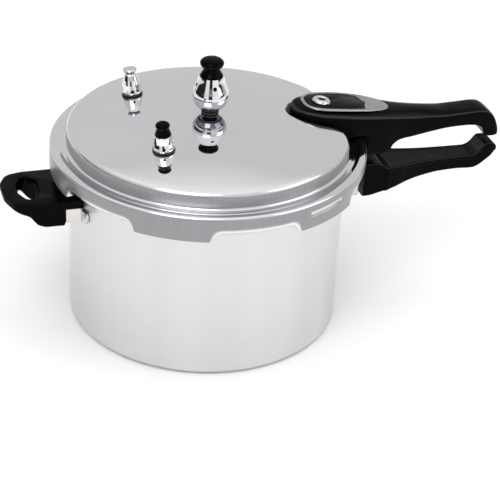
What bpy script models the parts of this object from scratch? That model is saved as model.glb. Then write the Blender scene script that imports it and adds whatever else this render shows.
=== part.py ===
"""A six litre aluminium pressure canner with a bayonet lid.

Frame: origin at the centre of the pot's base, +Z up, +X along the two long handles.
Outlines and profiles below are in millimetres; MM turns them into metres.
"""
import math

import bmesh
import bpy
from mathutils import Matrix, Vector

MM = 0.001
GAP = 0.3                  # clearance between solids that touch on the real object

# Pot
POT_RADIUS = 112.0
POT_WALL = 2.2
POT_BASE = 3.2
POT_BASE_ROUND = 6.0
RIM_TOP = 144.0
RIM_FLANGE_RADIUS = 116.5
LUG_RADIUS = 121.8
LUG_BOTTOM = 141.0
LUG_DEGREES = 25.0

# Lid
LOCKS = 6                  # pot lugs, and lid lips that turn under them
LOCK_PITCH = 360.0 / LOCKS
SHEET = 2.6
PLATEAU_RADIUS = 114.3
PLATEAU_EDGE = 165.9
DOME = 12.0
SHOULDER = 152.9
SKIRT_RADIUS = 128.3
SKIRT_BOTTOM = 132.3
LIP_TOP_BEND = 144.4
LIP_BOTTOM = 137.5
LIP_INNER_RADIUS = 117.6
EDGE_ROUND = 3.0
SKIRT_SLOT_Z = (141.6, 146.4)
SKIRT_SLOT_HALF = 20.0

# Fittings on the lid: where each one stands, seen from above
VENT_AT = (0.0, 0.0)
SAFETY_AT = (-50.1, -46.8)
RELIEF_AT = (-50.4, 55.0)
PIN_X = 94.0
LID_SCREWS_AT = ((103.0, -8.6), (103.0, 8.6))

# Badge on the upper handle's head
BADGE_CENTRE = (115.5, 175.2)
BADGE_SLOPE = 7.5

FRONT = -107.0             # the side that the small steam holes are counted from, seen from above

# Brackets and helper handle
LONG_BRACKET_Z = (95.0, 111.0)
HELPER_BRACKET_Z = (105.5, 117.4)

BLACK = ("bakelite_black", (0.012, 0.012, 0.013), 0.32, 0.0)
ALUMINIUM = ("aluminium_satin", (0.80, 0.80, 0.82), 0.30, 1.0)
POLISHED = ("aluminium_polished", (0.86, 0.86, 0.88), 0.10, 1.0)
CHROME = ("chrome", (0.78, 0.78, 0.80), 0.06, 1.0)
STEEL = ("steel_plated", (0.62, 0.62, 0.64), 0.28, 1.0)
SILVER = ("badge_silver", (0.66, 0.64, 0.62), 0.30, 1.0)
GLOSS_BLACK = ("badge_black", (0.015, 0.015, 0.017), 0.12, 0.0)
SILICONE = ("silicone_white", (0.86, 0.86, 0.84), 0.45, 0.0)
RUBBER = ("rubber_black", (0.03, 0.03, 0.03), 0.60, 0.0)


# ---------------------------------------------------------------- helpers

def clear_scene():
    for old in list(bpy.data.objects):
        bpy.data.objects.remove(old, do_unlink=True)


def new_collection(name):
    collection = bpy.data.collections.new(name)
    bpy.context.scene.collection.children.link(collection)
    return collection


def material(finish):
    name, colour, roughness, metallic = finish
    found = bpy.data.materials.get(name)
    if found:
        return found
    made = bpy.data.materials.new(name)
    made.use_nodes = True
    shader = made.node_tree.nodes["Principled BSDF"]
    shader.inputs["Base Color"].default_value = (*colour, 1.0)
    shader.inputs["Roughness"].default_value = roughness
    shader.inputs["Metallic"].default_value = metallic
    return made


def place(name, mesh, finish, at=(0.0, 0.0, 0.0)):
    """Adds a mesh as a named part, or as a hidden cutter when it has no finish."""
    made = bpy.data.objects.new(name, mesh)
    made.location = Vector(at) * MM
    if finish is None:
        CUTTERS.objects.link(made)
        made.hide_render = True
        made.display_type = "WIRE"
    else:
        CANNER.objects.link(made)
        mesh.materials.append(material(finish))
    return made


def smooth(made, degrees=35.0):
    made.data.shade_smooth()
    made.data.set_sharp_from_angle(angle=math.radians(degrees))
    return made


def turned(name, profile, finish, at=(0.0, 0.0, 0.0), steps=32, closed=False):
    """A turned solid. The profile is (radius, height) and runs down its outer side."""
    mesh = bpy.data.meshes.new(name)
    points = [(r * MM, 0.0, z * MM) for r, z in profile]
    edges = [(i, i + 1) for i in range(len(points) - 1)]
    if closed:
        edges.append((len(points) - 1, 0))
    mesh.from_pydata(points, edges, [])
    made = place(name, mesh, finish, at)
    screw = made.modifiers.new("Turn", "SCREW")
    screw.angle = math.tau
    screw.steps = steps
    screw.render_steps = steps
    screw.use_merge_vertices = True
    screw.merge_threshold = 0.00001
    screw.use_smooth_shade = True
    return made


def ring(name, inner, outer, low, high, finish, at=(0.0, 0.0, 0.0), steps=24):
    """A plain washer or tube."""
    profile = [(outer, high), (outer, low), (inner, low), (inner, high)]
    return turned(name, profile, finish, at, steps, closed=True)


def rod(name, radius, start, end, finish=None, segments=16):
    """A straight round bar between two points."""
    start = Vector(start) * MM
    end = Vector(end) * MM
    along = end - start
    form = bmesh.new()
    bmesh.ops.create_cone(form, cap_ends=True, segments=segments, radius1=radius * MM,
                          radius2=radius * MM, depth=along.length)
    half_facet = Matrix.Rotation(math.pi / segments, 4, "Z")
    turn = along.to_track_quat("Z", "Y").to_matrix().to_4x4()
    form.transform(Matrix.Translation((start + end) / 2) @ turn @ half_facet)
    mesh = bpy.data.meshes.new(name)
    form.to_mesh(mesh)
    form.free()
    return place(name, mesh, finish)


def block(name, low, high, finish=None, turn_z=0.0):
    """A box between two corners, then turned about the pot's axis."""
    low = Vector(low) * MM
    high = Vector(high) * MM
    form = bmesh.new()
    bmesh.ops.create_cube(form, size=1.0)
    bmesh.ops.scale(form, vec=high - low, verts=form.verts)
    bmesh.ops.translate(form, vec=(low + high) / 2, verts=form.verts)
    form.transform(Matrix.Rotation(math.radians(turn_z), 4, "Z"))
    mesh = bpy.data.meshes.new(name)
    form.to_mesh(mesh)
    form.free()
    return place(name, mesh, finish)


def plate(name, outline, low, high, finish=None):
    """A flat outline (x, y), filled and extruded between two heights."""
    curve = bpy.data.curves.new(name, "CURVE")
    curve.dimensions = "2D"
    curve.fill_mode = "BOTH"
    curve.extrude = (high - low) / 2 * MM
    line = curve.splines.new("POLY")
    line.points.add(len(outline) - 1)
    for point, (x, y) in zip(line.points, outline):
        point.co = (x * MM, y * MM, 0.0, 1.0)
    line.use_cyclic_u = True
    guide = bpy.data.objects.new(name + "_outline", curve)
    CUTTERS.objects.link(guide)
    guide.location = (0.0, 0.0, (low + high) / 2 * MM)
    bpy.context.view_layer.update()
    mesh = bpy.data.meshes.new_from_object(guide.evaluated_get(bpy.context.evaluated_depsgraph_get()))
    form = bmesh.new()
    form.from_mesh(mesh)
    bmesh.ops.remove_doubles(form, verts=form.verts, dist=0.00001)
    form.to_mesh(mesh)
    form.free()
    made = place(name, mesh, finish)
    made.matrix_world = guide.matrix_world
    bpy.data.objects.remove(guide)
    mesh.name = name
    return made


def cut(made, cutter, operation="DIFFERENCE"):
    step = made.modifiers.new(cutter.name, "BOOLEAN")
    step.operation = operation
    step.object = cutter
    step.solver = "EXACT"


def drill(made, radius, start, end, segments=16):
    cut(made, rod("cut_" + made.name, radius, start, end, segments=segments))


def moved(matrix, build, *details):
    """Builds something about the origin, then moves all its solids and cutters together."""
    before = set(bpy.data.objects)
    build(*details)
    bpy.context.view_layer.update()
    for made in bpy.data.objects:
        if made not in before:
            made.matrix_world = matrix @ made.matrix_world


def hex_nut(name, across, low, high, bore):
    """A hexagon nut about the origin's upright axis."""
    form = bmesh.new()
    radius = across / math.sqrt(3.0) * MM
    bmesh.ops.create_cone(form, cap_ends=True, segments=6, radius1=radius, radius2=radius,
                          depth=(high - low) * MM)
    mesh = bpy.data.meshes.new(name)
    form.to_mesh(mesh)
    form.free()
    made = place(name, mesh, STEEL, (0.0, 0.0, (low + high) / 2))
    drill(made, bore, (0.0, 0.0, low - 1), (0.0, 0.0, high + 1))
    return made


def on_circle(radius, degrees, z=0.0):
    angle = math.radians(degrees)
    return Vector((radius * math.cos(angle), radius * math.sin(angle), z))


def lid_height(x, y):
    """Height of the lid's domed top over a point of its plan."""
    return PLATEAU_EDGE + DOME * (1.0 - (x * x + y * y) / PLATEAU_RADIUS ** 2)


def lid_normal(x, y):
    slope = 2.0 * DOME / PLATEAU_RADIUS ** 2
    return Vector((slope * x, slope * y, 1.0)).normalized()


def on_lid(where):
    """The frame of a fitting that stands square on the dome: its origin is on the surface."""
    spot = Vector((*where, lid_height(*where))) * MM
    return Matrix.Translation(spot) @ lid_normal(*where).to_track_quat("Z", "X").to_matrix().to_4x4()


def lofted_bar(name, stations, finish):
    """A bar along +X. Each station is (x, bottom, top, half width, crown, corner)."""
    form = bmesh.new()
    rings = []
    for x, low, high, half, crown, corner in stations:
        side = high - crown
        section = [(0.0, high), (half * 0.6, high - crown * 0.3), (half - corner * 0.4, side),
                   (half, side - corner), (half, low + corner), (half - corner, low)]
        section += [(-y, z) for y, z in reversed(section[1:])]
        rings.append([form.verts.new((x * MM, y * MM, z * MM)) for y, z in section])
    count = len(rings[0])
    for near, far in zip(rings, rings[1:]):
        for i in range(count):
            j = (i + 1) % count
            form.faces.new((near[i], far[i], far[j], near[j]))
    form.faces.new(rings[0])
    form.faces.new(list(reversed(rings[-1])))
    bmesh.ops.recalc_face_normals(form, faces=form.faces)
    mesh = bpy.data.meshes.new(name)
    form.to_mesh(mesh)
    form.free()
    return smooth(place(name, mesh, finish))


# ---------------------------------------------------------------- pot

def pot_body():
    inner = POT_RADIUS - POT_WALL
    base_arc = []
    for degrees in (0, 30, 60, 90):
        angle = math.radians(degrees)
        base_arc.append((POT_RADIUS - POT_BASE_ROUND * (1 - math.cos(angle)),
                         POT_BASE_ROUND * (1 - math.sin(angle))))
    profile = [(0.0, POT_BASE), (inner - 5.0, POT_BASE), (inner - 1.5, POT_BASE + 1.5),
               (inner, POT_BASE + 5.0), (inner, RIM_TOP), (RIM_FLANGE_RADIUS, RIM_TOP),
               (RIM_FLANGE_RADIUS, LUG_BOTTOM), (POT_RADIUS, LUG_BOTTOM)]
    pot = turned("pot_body", profile + base_arc + [(0.0, 0.0)], ALUMINIUM, steps=60)
    half = LUG_DEGREES / 2
    for k in range(LOCKS):
        middle = LOCK_PITCH * (k + 0.5)
        ends = [middle - half, middle, middle + half]
        outline = [on_circle(RIM_FLANGE_RADIUS - 2.0, a)[:2] for a in reversed(ends)]
        outline += [on_circle(LUG_RADIUS, a)[:2] for a in ends]
        cut(pot, plate(f"lug_{k + 1}", outline, LUG_BOTTOM, RIM_TOP - 0.4), "UNION")
    return pot


def canning_rack():
    """The perforated plate that keeps jars off the base."""
    low = POT_BASE + GAP
    high = low + 10.0
    profile = [(0.0, high), (101.0, high), (103.0, high - 1.0), (103.0, low), (101.4, low),
               (101.4, high - 1.8), (100.4, high - 1.3), (0.0, high - 1.3)]
    rack = turned("canning_rack", profile, ALUMINIUM, steps=32)
    for radius, count in ((34.0, 5), (72.0, 9)):
        for k in range(count):
            x, y, _ = on_circle(radius, 360.0 * k / count)
            drill(rack, 9.0, (x, y, 8.0), (x, y, 18.0), segments=8)
    return rack


def lower_handle():
    stations = [
        (132.4, 94.0, 122.4, 14.6, 1.5, 1.8), (134.0, 93.8, 123.6, 15.2, 1.2, 2.2),
        (139.0, 94.2, 123.8, 15.6, 1.2, 2.2), (148.0, 96.6, 122.8, 16.4, 1.2, 2.2),
        (153.5, 98.4, 120.6, 18.6, 0.6, 2.0), (160.0, 100.4, 120.3, 17.9, 0.4, 2.0),
        (172.0, 103.8, 120.3, 15.2, 0.4, 2.0), (186.0, 106.4, 120.3, 12.9, 0.4, 2.0),
        (202.0, 108.2, 120.3, 11.6, 0.4, 2.0), (218.0, 108.5, 120.3, 10.9, 0.4, 2.0),
        (230.5, 107.8, 120.3, 10.6, 0.4, 2.0), (234.6, 108.0, 121.4, 10.5, 0.4, 2.0),
        (237.4, 109.2, 123.6, 10.4, 0.4, 2.0), (240.8, 111.2, 128.0, 10.4, 0.6, 2.0),
        (243.0, 112.8, 129.8, 10.3, 0.8, 2.0), (249.4, 118.0, 129.8, 10.0, 0.8, 2.0),
        (252.2, 121.4, 128.2, 9.4, 0.8, 1.8), (254.0, 123.4, 126.2, 8.4, 0.4, 1.0),
    ]
    handle = lofted_bar("lower_handle", stations, BLACK)
    low, high = LONG_BRACKET_Z
    cut(handle, block("cut_lower_tongue", (120.0, -7.4, low + 5.0 - GAP), (155.4, 7.4, high + GAP)))
    drill(handle, 2.5, (150.0, 0.0, 80.0), (150.0, 0.0, high + 8.0))
    drill(handle, 4.7, (150.0, 0.0, 80.0), (150.0, 0.0, 99.6))
    return handle


def long_bracket():
    """A steel tongue welded to the pot wall; the handle slides over it."""
    low, high = LONG_BRACKET_Z
    inside = POT_RADIUS + GAP + 0.3
    outline = [(inside - 3.0, -18.0), (inside, -18.0), (inside + 4.0, -14.6), (128.9 - GAP, -14.0),
               (128.9 - GAP, -7.0), (155.0, -7.0), (155.0, 7.0), (128.9 - GAP, 7.0),
               (128.9 - GAP, 14.0), (inside + 4.0, 14.6), (inside, 18.0), (inside - 3.0, 18.0)]
    bracket = plate("lower_handle_bracket", outline, low, high, STEEL)
    cut(bracket, block("cut_tongue_under", (128.9 - GAP, -20.0, low - 3.0), (160.0, 20.0, low + 5.0)))
    cut(bracket, rod("cut_bracket_curve", POT_RADIUS + GAP, (0, 0, low - 5), (0, 0, high + 5),
                     segments=144))
    drill(bracket, 2.3, (150.0, 0.0, low - 3), (150.0, 0.0, high + 3))
    return bracket


def pan_screw(name, at, head_low, head_high, tip, shank=2.0, head=4.2):
    """A pan-head screw, head down, shank up."""
    profile = [(0.0, tip), (shank, tip), (shank, head_high), (head, head_high), (head, head_low + 0.8),
               (head - 0.9, head_low), (0.0, head_low)]
    return turned(name, profile, STEEL, (*at, 0.0), steps=16)


def mirrored(half):
    """A plan outline from its half with y above zero, listed along +Y to the middle line."""
    return half + [(x, -y) for x, y in reversed(half)]


def helper_handle():
    """The short D-shaped handle opposite the long one, with a finger slot."""
    side = [(-105.0, 125.0), (-166.6, 125.0), (-168.8, 123.0), (-167.0, 121.0), (-158.5, 117.0),
            (-153.0, 115.4), (-149.0, 112.0), (-144.5, 107.4), (-140.0, 105.0), (-136.0, 104.2),
            (-123.4, 104.0), (-123.4, 117.8), (-105.0, 117.8)]
    handle = plate("helper_handle", side, -40.0, 40.0, BLACK)
    handle.matrix_world = Matrix.Rotation(math.pi / 2, 4, "X")
    plan = mirrored([(-100.0, 28.0), (-150.0, 28.0), (-157.0, 26.4), (-162.4, 22.4), (-166.6, 15.4),
                     (-168.8, 6.0)])
    cut(handle, plate("helper_plan", plan, 90.0, 140.0), "INTERSECT")
    slot = mirrored([(-138.6, 9.0), (-141.0, 14.5), (-145.5, 18.0), (-150.0, 18.0), (-154.0, 14.0),
                     (-156.4, 7.0)])
    cut(handle, plate("cut_helper_slot", slot, 90.0, 140.0))
    low, high = HELPER_BRACKET_Z
    cut(handle, block("cut_helper_tongue", (-135.6, -20.4, low + 2.0 - GAP),
                      (-120.0, 20.4, high - 2.0 + GAP)))
    cut(handle, rod("cut_helper_wall", POT_RADIUS + 0.6, (0, 0, 90.0), (0, 0, 140.0), segments=90))
    drill(handle, 2.5, (-129.0, 0.0, 90.0), (-129.0, 0.0, 120.6))
    drill(handle, 4.8, (-129.0, 0.0, 90.0), (-129.0, 0.0, 105.2))
    return smooth(handle)


def helper_bracket():
    """The bright box bracket welded to the pot wall that carries the helper handle."""
    low, high = HELPER_BRACKET_Z
    face = -(123.4 - GAP)
    box = mirrored([(-104.0, 27.0), (-122.6, 27.0), (face, 26.4)])
    bracket = plate("helper_handle_bracket", box, low, high, CHROME)
    foot = mirrored([on_circle(108.0, 180.0 - 18.5)[:2], on_circle(114.0, 180.0 - 18.5)[:2],
                     on_circle(114.2, 180.0 - 9.0)[:2]])
    cut(bracket, plate("helper_foot", foot, low + 0.6, high - 2.4), "UNION")
    tongue = block("helper_tongue", (-135.2, -20.0, low + 2.0), (-118.0, 20.0, high - 2.0))
    cut(bracket, tongue, "UNION")
    cut(bracket, rod("cut_sleeve_curve", POT_RADIUS + GAP, (0, 0, low - 5), (0, 0, high + 5),
                     segments=90))
    drill(bracket, 2.3, (-129.0, 0.0, low - 3), (-129.0, 0.0, high + 3))
    return bracket


# ---------------------------------------------------------------- lid

# Half of the recess that the upper handle's head drops into, from its nose to its corner,
# where it runs into the plateau's round edge.
RECESS = [(66.2, 0.0), (66.8, 5.4), (68.8, 10.2), (72.2, 14.3), (76.8, 17.7), (82.5, 20.5),
          (89.0, 22.9), (95.2, 25.7), (100.0, 29.9), (102.6, 34.9), (103.2, 41.0), (102.2, 47.6)]
RECESS_DEGREES = [0.0, 2.3, 4.5, 6.8, 9.0, 11.2, 13.5, 16.5, 18.9, 21.2, 23.5, 25.6]
# How the skirt's columns are spaced about a locking lip, in degrees from its middle.
LIP_COLUMNS = [-30.0, -22.5, -16.5, -13.5, -4.5, 4.5, 13.5, 16.5, 22.5]


def lid_columns():
    """The plan outline of the lid's raised top, as (skirt angle, x, y)."""
    columns = []
    for degrees, (x, y) in zip(RECESS_DEGREES, RECESS):
        columns.append((degrees, x, y))
        if degrees > 0.0:
            columns.append((-degrees, x, -y))
    for k in range(LOCKS):
        for step in LIP_COLUMNS:
            degrees = (LOCK_PITCH * (k + 0.5) + step + 180.0) % 360.0 - 180.0
            if abs(degrees) > RECESS_DEGREES[-1] + 1.0:
                x, y, _ = on_circle(PLATEAU_RADIUS, degrees)
                columns.append((degrees, x, y))
    return sorted(columns)


def lip_share(degrees):
    """1 where the skirt is pressed in as a locking lip, 0 where it hangs straight."""
    away = abs((degrees % LOCK_PITCH) - LOCK_PITCH / 2)
    return min(1.0, max(0.0, (16.5 - away) / 3.0))


def lid_section(degrees, point, outward):
    """One radial section of the lid's outer face, from near its middle to its skirt's edge."""
    e = EDGE_ROUND
    height = lid_height(*point)
    section = []
    for share in (0.22, 0.44, 0.66, 0.85):
        inner = (point - outward * e) * share
        section.append(Vector((inner.x, inner.y, lid_height(*inner))))
    wall = [(-e, height), (-0.3 * e, height - 0.3 * e), (0.0, height - e), (0.0, SHOULDER + 1.5),
            (1.5, SHOULDER)]
    for out, z in wall:
        flat = point + outward * out
        section.append(Vector((flat.x, flat.y, z)))
    share = lip_share(degrees)
    straight = [(SKIRT_RADIUS, 140.4), (SKIRT_RADIUS, 136.3), (SKIRT_RADIUS, SKIRT_BOTTOM)]
    pressed = [(SKIRT_RADIUS - 1.9, LIP_BOTTOM + 2.7), (SKIRT_RADIUS - 5.6, LIP_BOTTOM),
               (LIP_INNER_RADIUS, LIP_BOTTOM)]
    rim = [(SKIRT_RADIUS - 3.6, SHOULDER), (SKIRT_RADIUS - 0.9, SHOULDER - 1.0),
           (SKIRT_RADIUS, SHOULDER - 3.6), (SKIRT_RADIUS, LIP_TOP_BEND)]
    for (r0, z0), (r1, z1) in zip(straight, pressed):
        rim.append((r0 + (r1 - r0) * share, z0 + (z1 - z0) * share))
    section += [on_circle(r, degrees, z) for r, z in rim]
    return section


def lid_shell():
    """The pressed lid: a domed top, a recess for the handle, and a skirt with six lips."""
    columns = lid_columns()
    form = bmesh.new()
    middle = form.verts.new((0.0, 0.0, lid_height(0.0, 0.0) * MM))
    rings = []
    for i, (degrees, x, y) in enumerate(columns):
        before = Vector(columns[i - 1][1:])
        after = Vector(columns[(i + 1) % len(columns)][1:])
        along = (after - before).normalized()
        outward = Vector((along.y, -along.x))
        section = lid_section(degrees, Vector((x, y)), outward)
        rings.append([form.verts.new(p * MM) for p in section])
    for i, near in enumerate(rings):
        far = rings[(i + 1) % len(rings)]
        form.faces.new((middle, near[0], far[0]))
        for a in range(len(near) - 1):
            form.faces.new((near[a], near[a + 1], far[a + 1], far[a]))
    mesh = bpy.data.meshes.new("lid_shell")
    form.to_mesh(mesh)
    form.free()
    lid = place("lid_shell", mesh, POLISHED)
    shell = lid.modifiers.new("Sheet", "SOLIDIFY")
    shell.thickness = SHEET * MM
    shell.offset = -1.0
    shell.use_even_offset = True
    shell.use_quality_normals = True
    for where, radius in ((VENT_AT, 4.4), (SAFETY_AT, 5.2), (RELIEF_AT, 5.2)):
        surface = Vector((*where, lid_height(*where)))
        along = lid_normal(*where) * 10.0
        drill(lid, radius, surface - along, surface + along)
    drill(lid, 2.7, (PIN_X, 0.0, 140.0), (PIN_X, 0.0, 165.0))
    for x, y in LID_SCREWS_AT:
        drill(lid, 2.5, (x, y, 140.0), (x, y, 165.0), segments=12)
    low, high = SKIRT_SLOT_Z
    slot = block("cut_skirt_slot", (SKIRT_RADIUS - 8.0, -SKIRT_SLOT_HALF, low),
                 (SKIRT_RADIUS + 6.0, SKIRT_SLOT_HALF, high), turn_z=-LOCK_PITCH)
    cut(lid, slot)
    return smooth(lid)


def lid_gasket():
    """The silicone sealing ring, a lip that the pressure pushes onto the pot's rim."""
    top = SHOULDER - SHEET - GAP
    low = RIM_TOP + GAP + 0.1
    profile = [(122.6, top), (124.9, top - 2.4), (124.9, low), (121.6, low), (121.6, low + 2.4),
               (115.4, low + 2.4), (112.4, low), (110.4, low), (110.9, low + 2.8), (113.2, top)]
    return turned("lid_gasket", profile, SILICONE, steps=40, closed=True)


def upper_handle():
    stations = [
        (69.6, 162.0, 174.4, 3.4, 2.0, 0.8), (71.0, 158.4, 176.9, 8.2, 2.2, 1.6),
        (74.0, 155.8, 178.2, 12.6, 2.4, 2.4), (78.0, 154.4, 178.6, 15.8, 2.6, 2.6),
        (83.0, 153.6, 178.4, 18.4, 2.6, 2.6), (90.0, 153.5, 177.8, 20.6, 2.6, 2.6),
        (100.0, 153.5, 176.9, 21.8, 2.6, 2.6), (114.0, 153.5, 175.2, 22.2, 2.6, 2.6),
        (129.9, 153.5, 173.0, 21.2, 2.8, 2.6), (130.8, 134.6, 172.9, 21.0, 2.8, 2.6),
        (140.0, 134.6, 171.6, 19.6, 3.0, 2.6), (151.0, 135.4, 170.2, 17.7, 3.6, 2.6),
        (154.6, 140.2, 169.7, 17.0, 4.0, 2.6), (161.0, 144.0, 168.7, 15.9, 4.2, 2.6),
        (175.0, 145.4, 166.9, 14.2, 4.2, 2.6), (190.0, 147.3, 165.0, 13.0, 3.2, 2.6),
        (207.0, 149.2, 163.0, 12.3, 1.8, 2.2), (221.0, 149.5, 163.1, 12.0, 1.4, 2.2),
        (231.0, 148.6, 163.5, 12.0, 1.4, 2.2), (235.8, 146.8, 163.2, 12.0, 1.4, 2.2),
        (238.4, 143.4, 162.7, 12.0, 1.4, 2.2), (241.0, 138.4, 161.6, 11.8, 1.4, 2.2),
        (244.4, 137.2, 159.2, 11.6, 1.4, 2.2), (248.0, 137.0, 154.6, 11.2, 1.4, 2.2),
        (250.6, 137.2, 148.8, 10.6, 1.4, 2.0), (252.6, 138.8, 142.4, 9.0, 0.8, 1.2),
    ]
    handle = lofted_bar("upper_handle", stations, BLACK)
    drill(handle, 5.2, (PIN_X, 0.0, 150.0), (PIN_X, 0.0, 162.0))
    drill(handle, 2.8, (PIN_X, 0.0, 150.0), (PIN_X, 0.0, 190.0))
    for x, y in LID_SCREWS_AT:
        drill(handle, 2.3, (x, y, 150.0), (x, y, 166.0), segments=12)
    return handle


BADGE_FRAME_OUTLINE = [(-37.5, -7.4), (-37.5, 7.4), (-28.0, 15.6), (-15.0, 17.2), (5.0, 16.5),
                       (22.0, 13.5), (34.0, 8.0), (38.0, 0.0), (34.0, -8.0), (22.0, -13.5),
                       (5.0, -16.5), (-15.0, -17.2), (-28.0, -15.6)]
BADGE_PANEL_OUTLINE = [(-34.6, -6.4), (-34.6, 6.4), (-26.6, 13.4), (-15.0, 14.8), (12.4, 12.6),
                       (15.2, 4.2), (17.6, 0.0), (15.2, -4.2), (12.4, -12.6), (-15.0, -14.8),
                       (-26.6, -13.4)]


def on_badge(made):
    """Tips a flat piece made about the badge's own centre into the handle's sloping top."""
    slope = Matrix.Rotation(math.radians(BADGE_SLOPE), 4, "Y")
    x, z = BADGE_CENTRE
    made.matrix_world = Matrix.Translation(Vector((x, 0.0, z)) * MM) @ slope @ made.matrix_world
    return made


def badge():
    """A silver trim plate with a black panel let into it."""
    frame = plate("badge_frame", BADGE_FRAME_OUTLINE, GAP, 1.6, SILVER)
    pocket = plate("cut_badge_pocket", [(x * 1.02, y * 1.02) for x, y in BADGE_PANEL_OUTLINE], 0.0, 4.0)
    cut(frame, pocket)
    panel = plate("badge_panel", BADGE_PANEL_OUTLINE, GAP, 1.3, GLOSS_BLACK)
    hole = rod("cut_badge_hole", 5.6, (PIN_X - BADGE_CENTRE[0], 0.0, -2.0),
               (PIN_X - BADGE_CENTRE[0], 0.0, 5.0))
    cut(panel, hole)
    for made in (frame, pocket, panel, hole):
        on_badge(made)


def indicator_bush():
    """The bright eyelet round the pressure indicator pin."""
    profile = [(2.9, 3.9), (4.6, 4.0), (6.6, 3.2), (7.6, 1.7), (5.2, 1.7), (5.2, GAP), (2.9, GAP)]
    bush = turned("indicator_bush", profile, CHROME, steps=18, closed=True)
    bush.location = Vector((PIN_X - BADGE_CENTRE[0], 0.0, 0.0)) * MM
    bpy.context.view_layer.update()
    return on_badge(bush)


def float_pin():
    """The pressure indicator: a pin that steam lifts against its seal."""
    profile = [(0.0, 176.6), (1.2, 176.6), (2.0, 175.8), (2.0, 154.4), (3.9, 154.4), (3.9, 153.5),
               (2.0, 153.5), (2.0, 144.6), (4.6, 144.6), (4.6, 143.0), (0.0, 143.0)]
    turned("float_pin", profile, CHROME, (PIN_X, 0.0, 0.0), steps=12)
    ring("float_pin_seal", 2.4, 4.4, 144.9, 146.3, SILICONE, (PIN_X, 0.0, 0.0), steps=12)


# ---------------------------------------------------------------- regulator weight and its vent

UNDER = -SHEET - GAP - 0.1     # where what is screwed on below the lid begins


def vent():
    """The pipe that steam leaves by, its nut, and the strainer that keeps food out of it."""
    pipe = [(1.5, 17.0), (2.0, 17.0), (3.6, 13.6), (3.6, 2.4), (6.4, 2.2), (6.4, 0.5), (4.0, 0.5),
            (4.0, UNDER - 10.0), (1.5, UNDER - 10.0)]
    turned("vent_pipe", pipe, STEEL, steps=14, closed=True)
    hex_nut("vent_nut", 13.0, UNDER - 4.6, UNDER, 4.3)
    cup = [(9.0, UNDER - 4.9), (9.0, UNDER - 13.0), (1.0, UNDER - 13.0), (1.0, UNDER - 11.8),
           (7.8, UNDER - 11.8), (7.8, UNDER - 6.1), (4.3, UNDER - 6.1), (4.3, UNDER - 4.9)]
    strainer = turned("vent_strainer", cup, STEEL, steps=18, closed=True)
    for k in range(3):
        out = on_circle(12.0, 60.0 * k + 10.0, UNDER - 9.0)
        drill(strainer, 1.4, (-out.x, -out.y, out.z), out, segments=8)


def regulator_weight():
    """The weight that rides on the vent pipe, with its four steam holes and its knob."""
    body = [(1.6, 31.6), (8.6, 31.6), (8.9, 30.0), (10.6, 26.6), (12.5, 21.6), (14.0, 17.6),
            (14.4, 15.0), (13.8, 11.6), (12.2, 8.8), (9.4, 6.4), (4.8, 6.4), (4.4, 7.0), (4.4, 13.8),
            (1.9, 18.4), (1.6, 19.0)]
    weight = turned("weight_body", body, CHROME, steps=24, closed=True)
    for degrees in (FRONT + 16.0, FRONT + 106.0):
        out = on_circle(16.0, degrees, 25.4)
        drill(weight, 1.6, (-out.x, -out.y, out.z), out, segments=10)
    knob = [(0.0, 48.0), (4.0, 47.8), (7.6, 46.6), (9.4, 44.6), (9.4, 42.4), (7.6, 40.2),
            (6.7, 38.4), (7.4, 35.6), (8.5, 31.9), (0.0, 31.9)]
    turned("weight_knob", knob, BLACK, steps=24)


# ---------------------------------------------------------------- sprung valves

def coil(name, radius, low, high, turns, wire):
    """A compression spring."""
    curve = bpy.data.curves.new(name, "CURVE")
    curve.dimensions = "3D"
    curve.bevel_depth = wire * MM
    curve.bevel_resolution = 1
    curve.use_fill_caps = True
    per_turn = 8
    line = curve.splines.new("POLY")
    count = turns * per_turn + 1
    line.points.add(count - 1)
    for i, point in enumerate(line.points):
        z = low + wire + (high - low - 2 * wire) * i / (count - 1)
        point.co = (*(on_circle(radius, 360.0 * i / per_turn, z) * MM), 1.0)
    CANNER.objects.link(bpy.data.objects.new(name, curve))
    curve.materials.append(material(STEEL))


def sprung_valve(name, outer, neck, pull, pull_finish, hole_angles):
    """A spring-loaded relief valve: body, sealing washer, nut, spring, stem and pull."""
    chamber = neck - 1.8
    top = outer[0][1]
    low = UNDER - 7.4
    body = [(1.7, top), *outer, (4.8, 1.7), (4.8, low), (1.5, low), (1.5, low + 1.8),
            (chamber, low + 1.8), (chamber, top - 2.2), (1.7, top - 2.2)]
    shell = turned(name + "_body", body, CHROME, steps=20, closed=True)
    for degrees in hole_angles:
        drill(shell, 1.3, (0.0, 0.0, 4.6), on_circle(14.0, degrees, 4.6), segments=8)
    ring(name + "_washer", 5.2, outer[-1][0] - 0.3, GAP + 0.1, 1.4, RUBBER, steps=20)
    hex_nut(name + "_nut", 15.0, UNDER - 5.0, UNDER, 5.1)
    seat = low + 2.1
    stem = [(0.0, top + 1.0), (1.2, top + 1.0), (1.2, seat + 1.8), (chamber - 0.4, seat + 1.8),
            (chamber - 0.4, seat + 0.6), (1.0, seat), (0.0, seat)]
    turned(name + "_stem", stem, STEEL, steps=12)
    coil(name + "_spring", (1.2 + chamber) / 2, seat + 2.1, top - 2.6, 5, 0.3)
    knob = [(0.0, pull[0][1]), *pull, (1.5, pull[-1][1]), (1.5, top + 1.3), (0.0, top + 1.3)]
    turned(name + "_pull", knob, pull_finish, steps=20)


def safety_valve():
    outer = [(6.5, 13.4), (6.7, 12.8), (7.8, 7.8), (8.3, 4.4), (8.7, 3.4), (8.7, 1.7)]
    pull = [(2.8, 23.8), (5.0, 23.0), (5.6, 21.6), (4.7, 19.6), (5.4, 17.2), (6.5, 13.8)]
    angles = [FRONT - 38.0 + 120.0 * k for k in range(3)]
    sprung_valve("safety_valve", outer, 5.0, pull, BLACK, angles)


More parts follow.
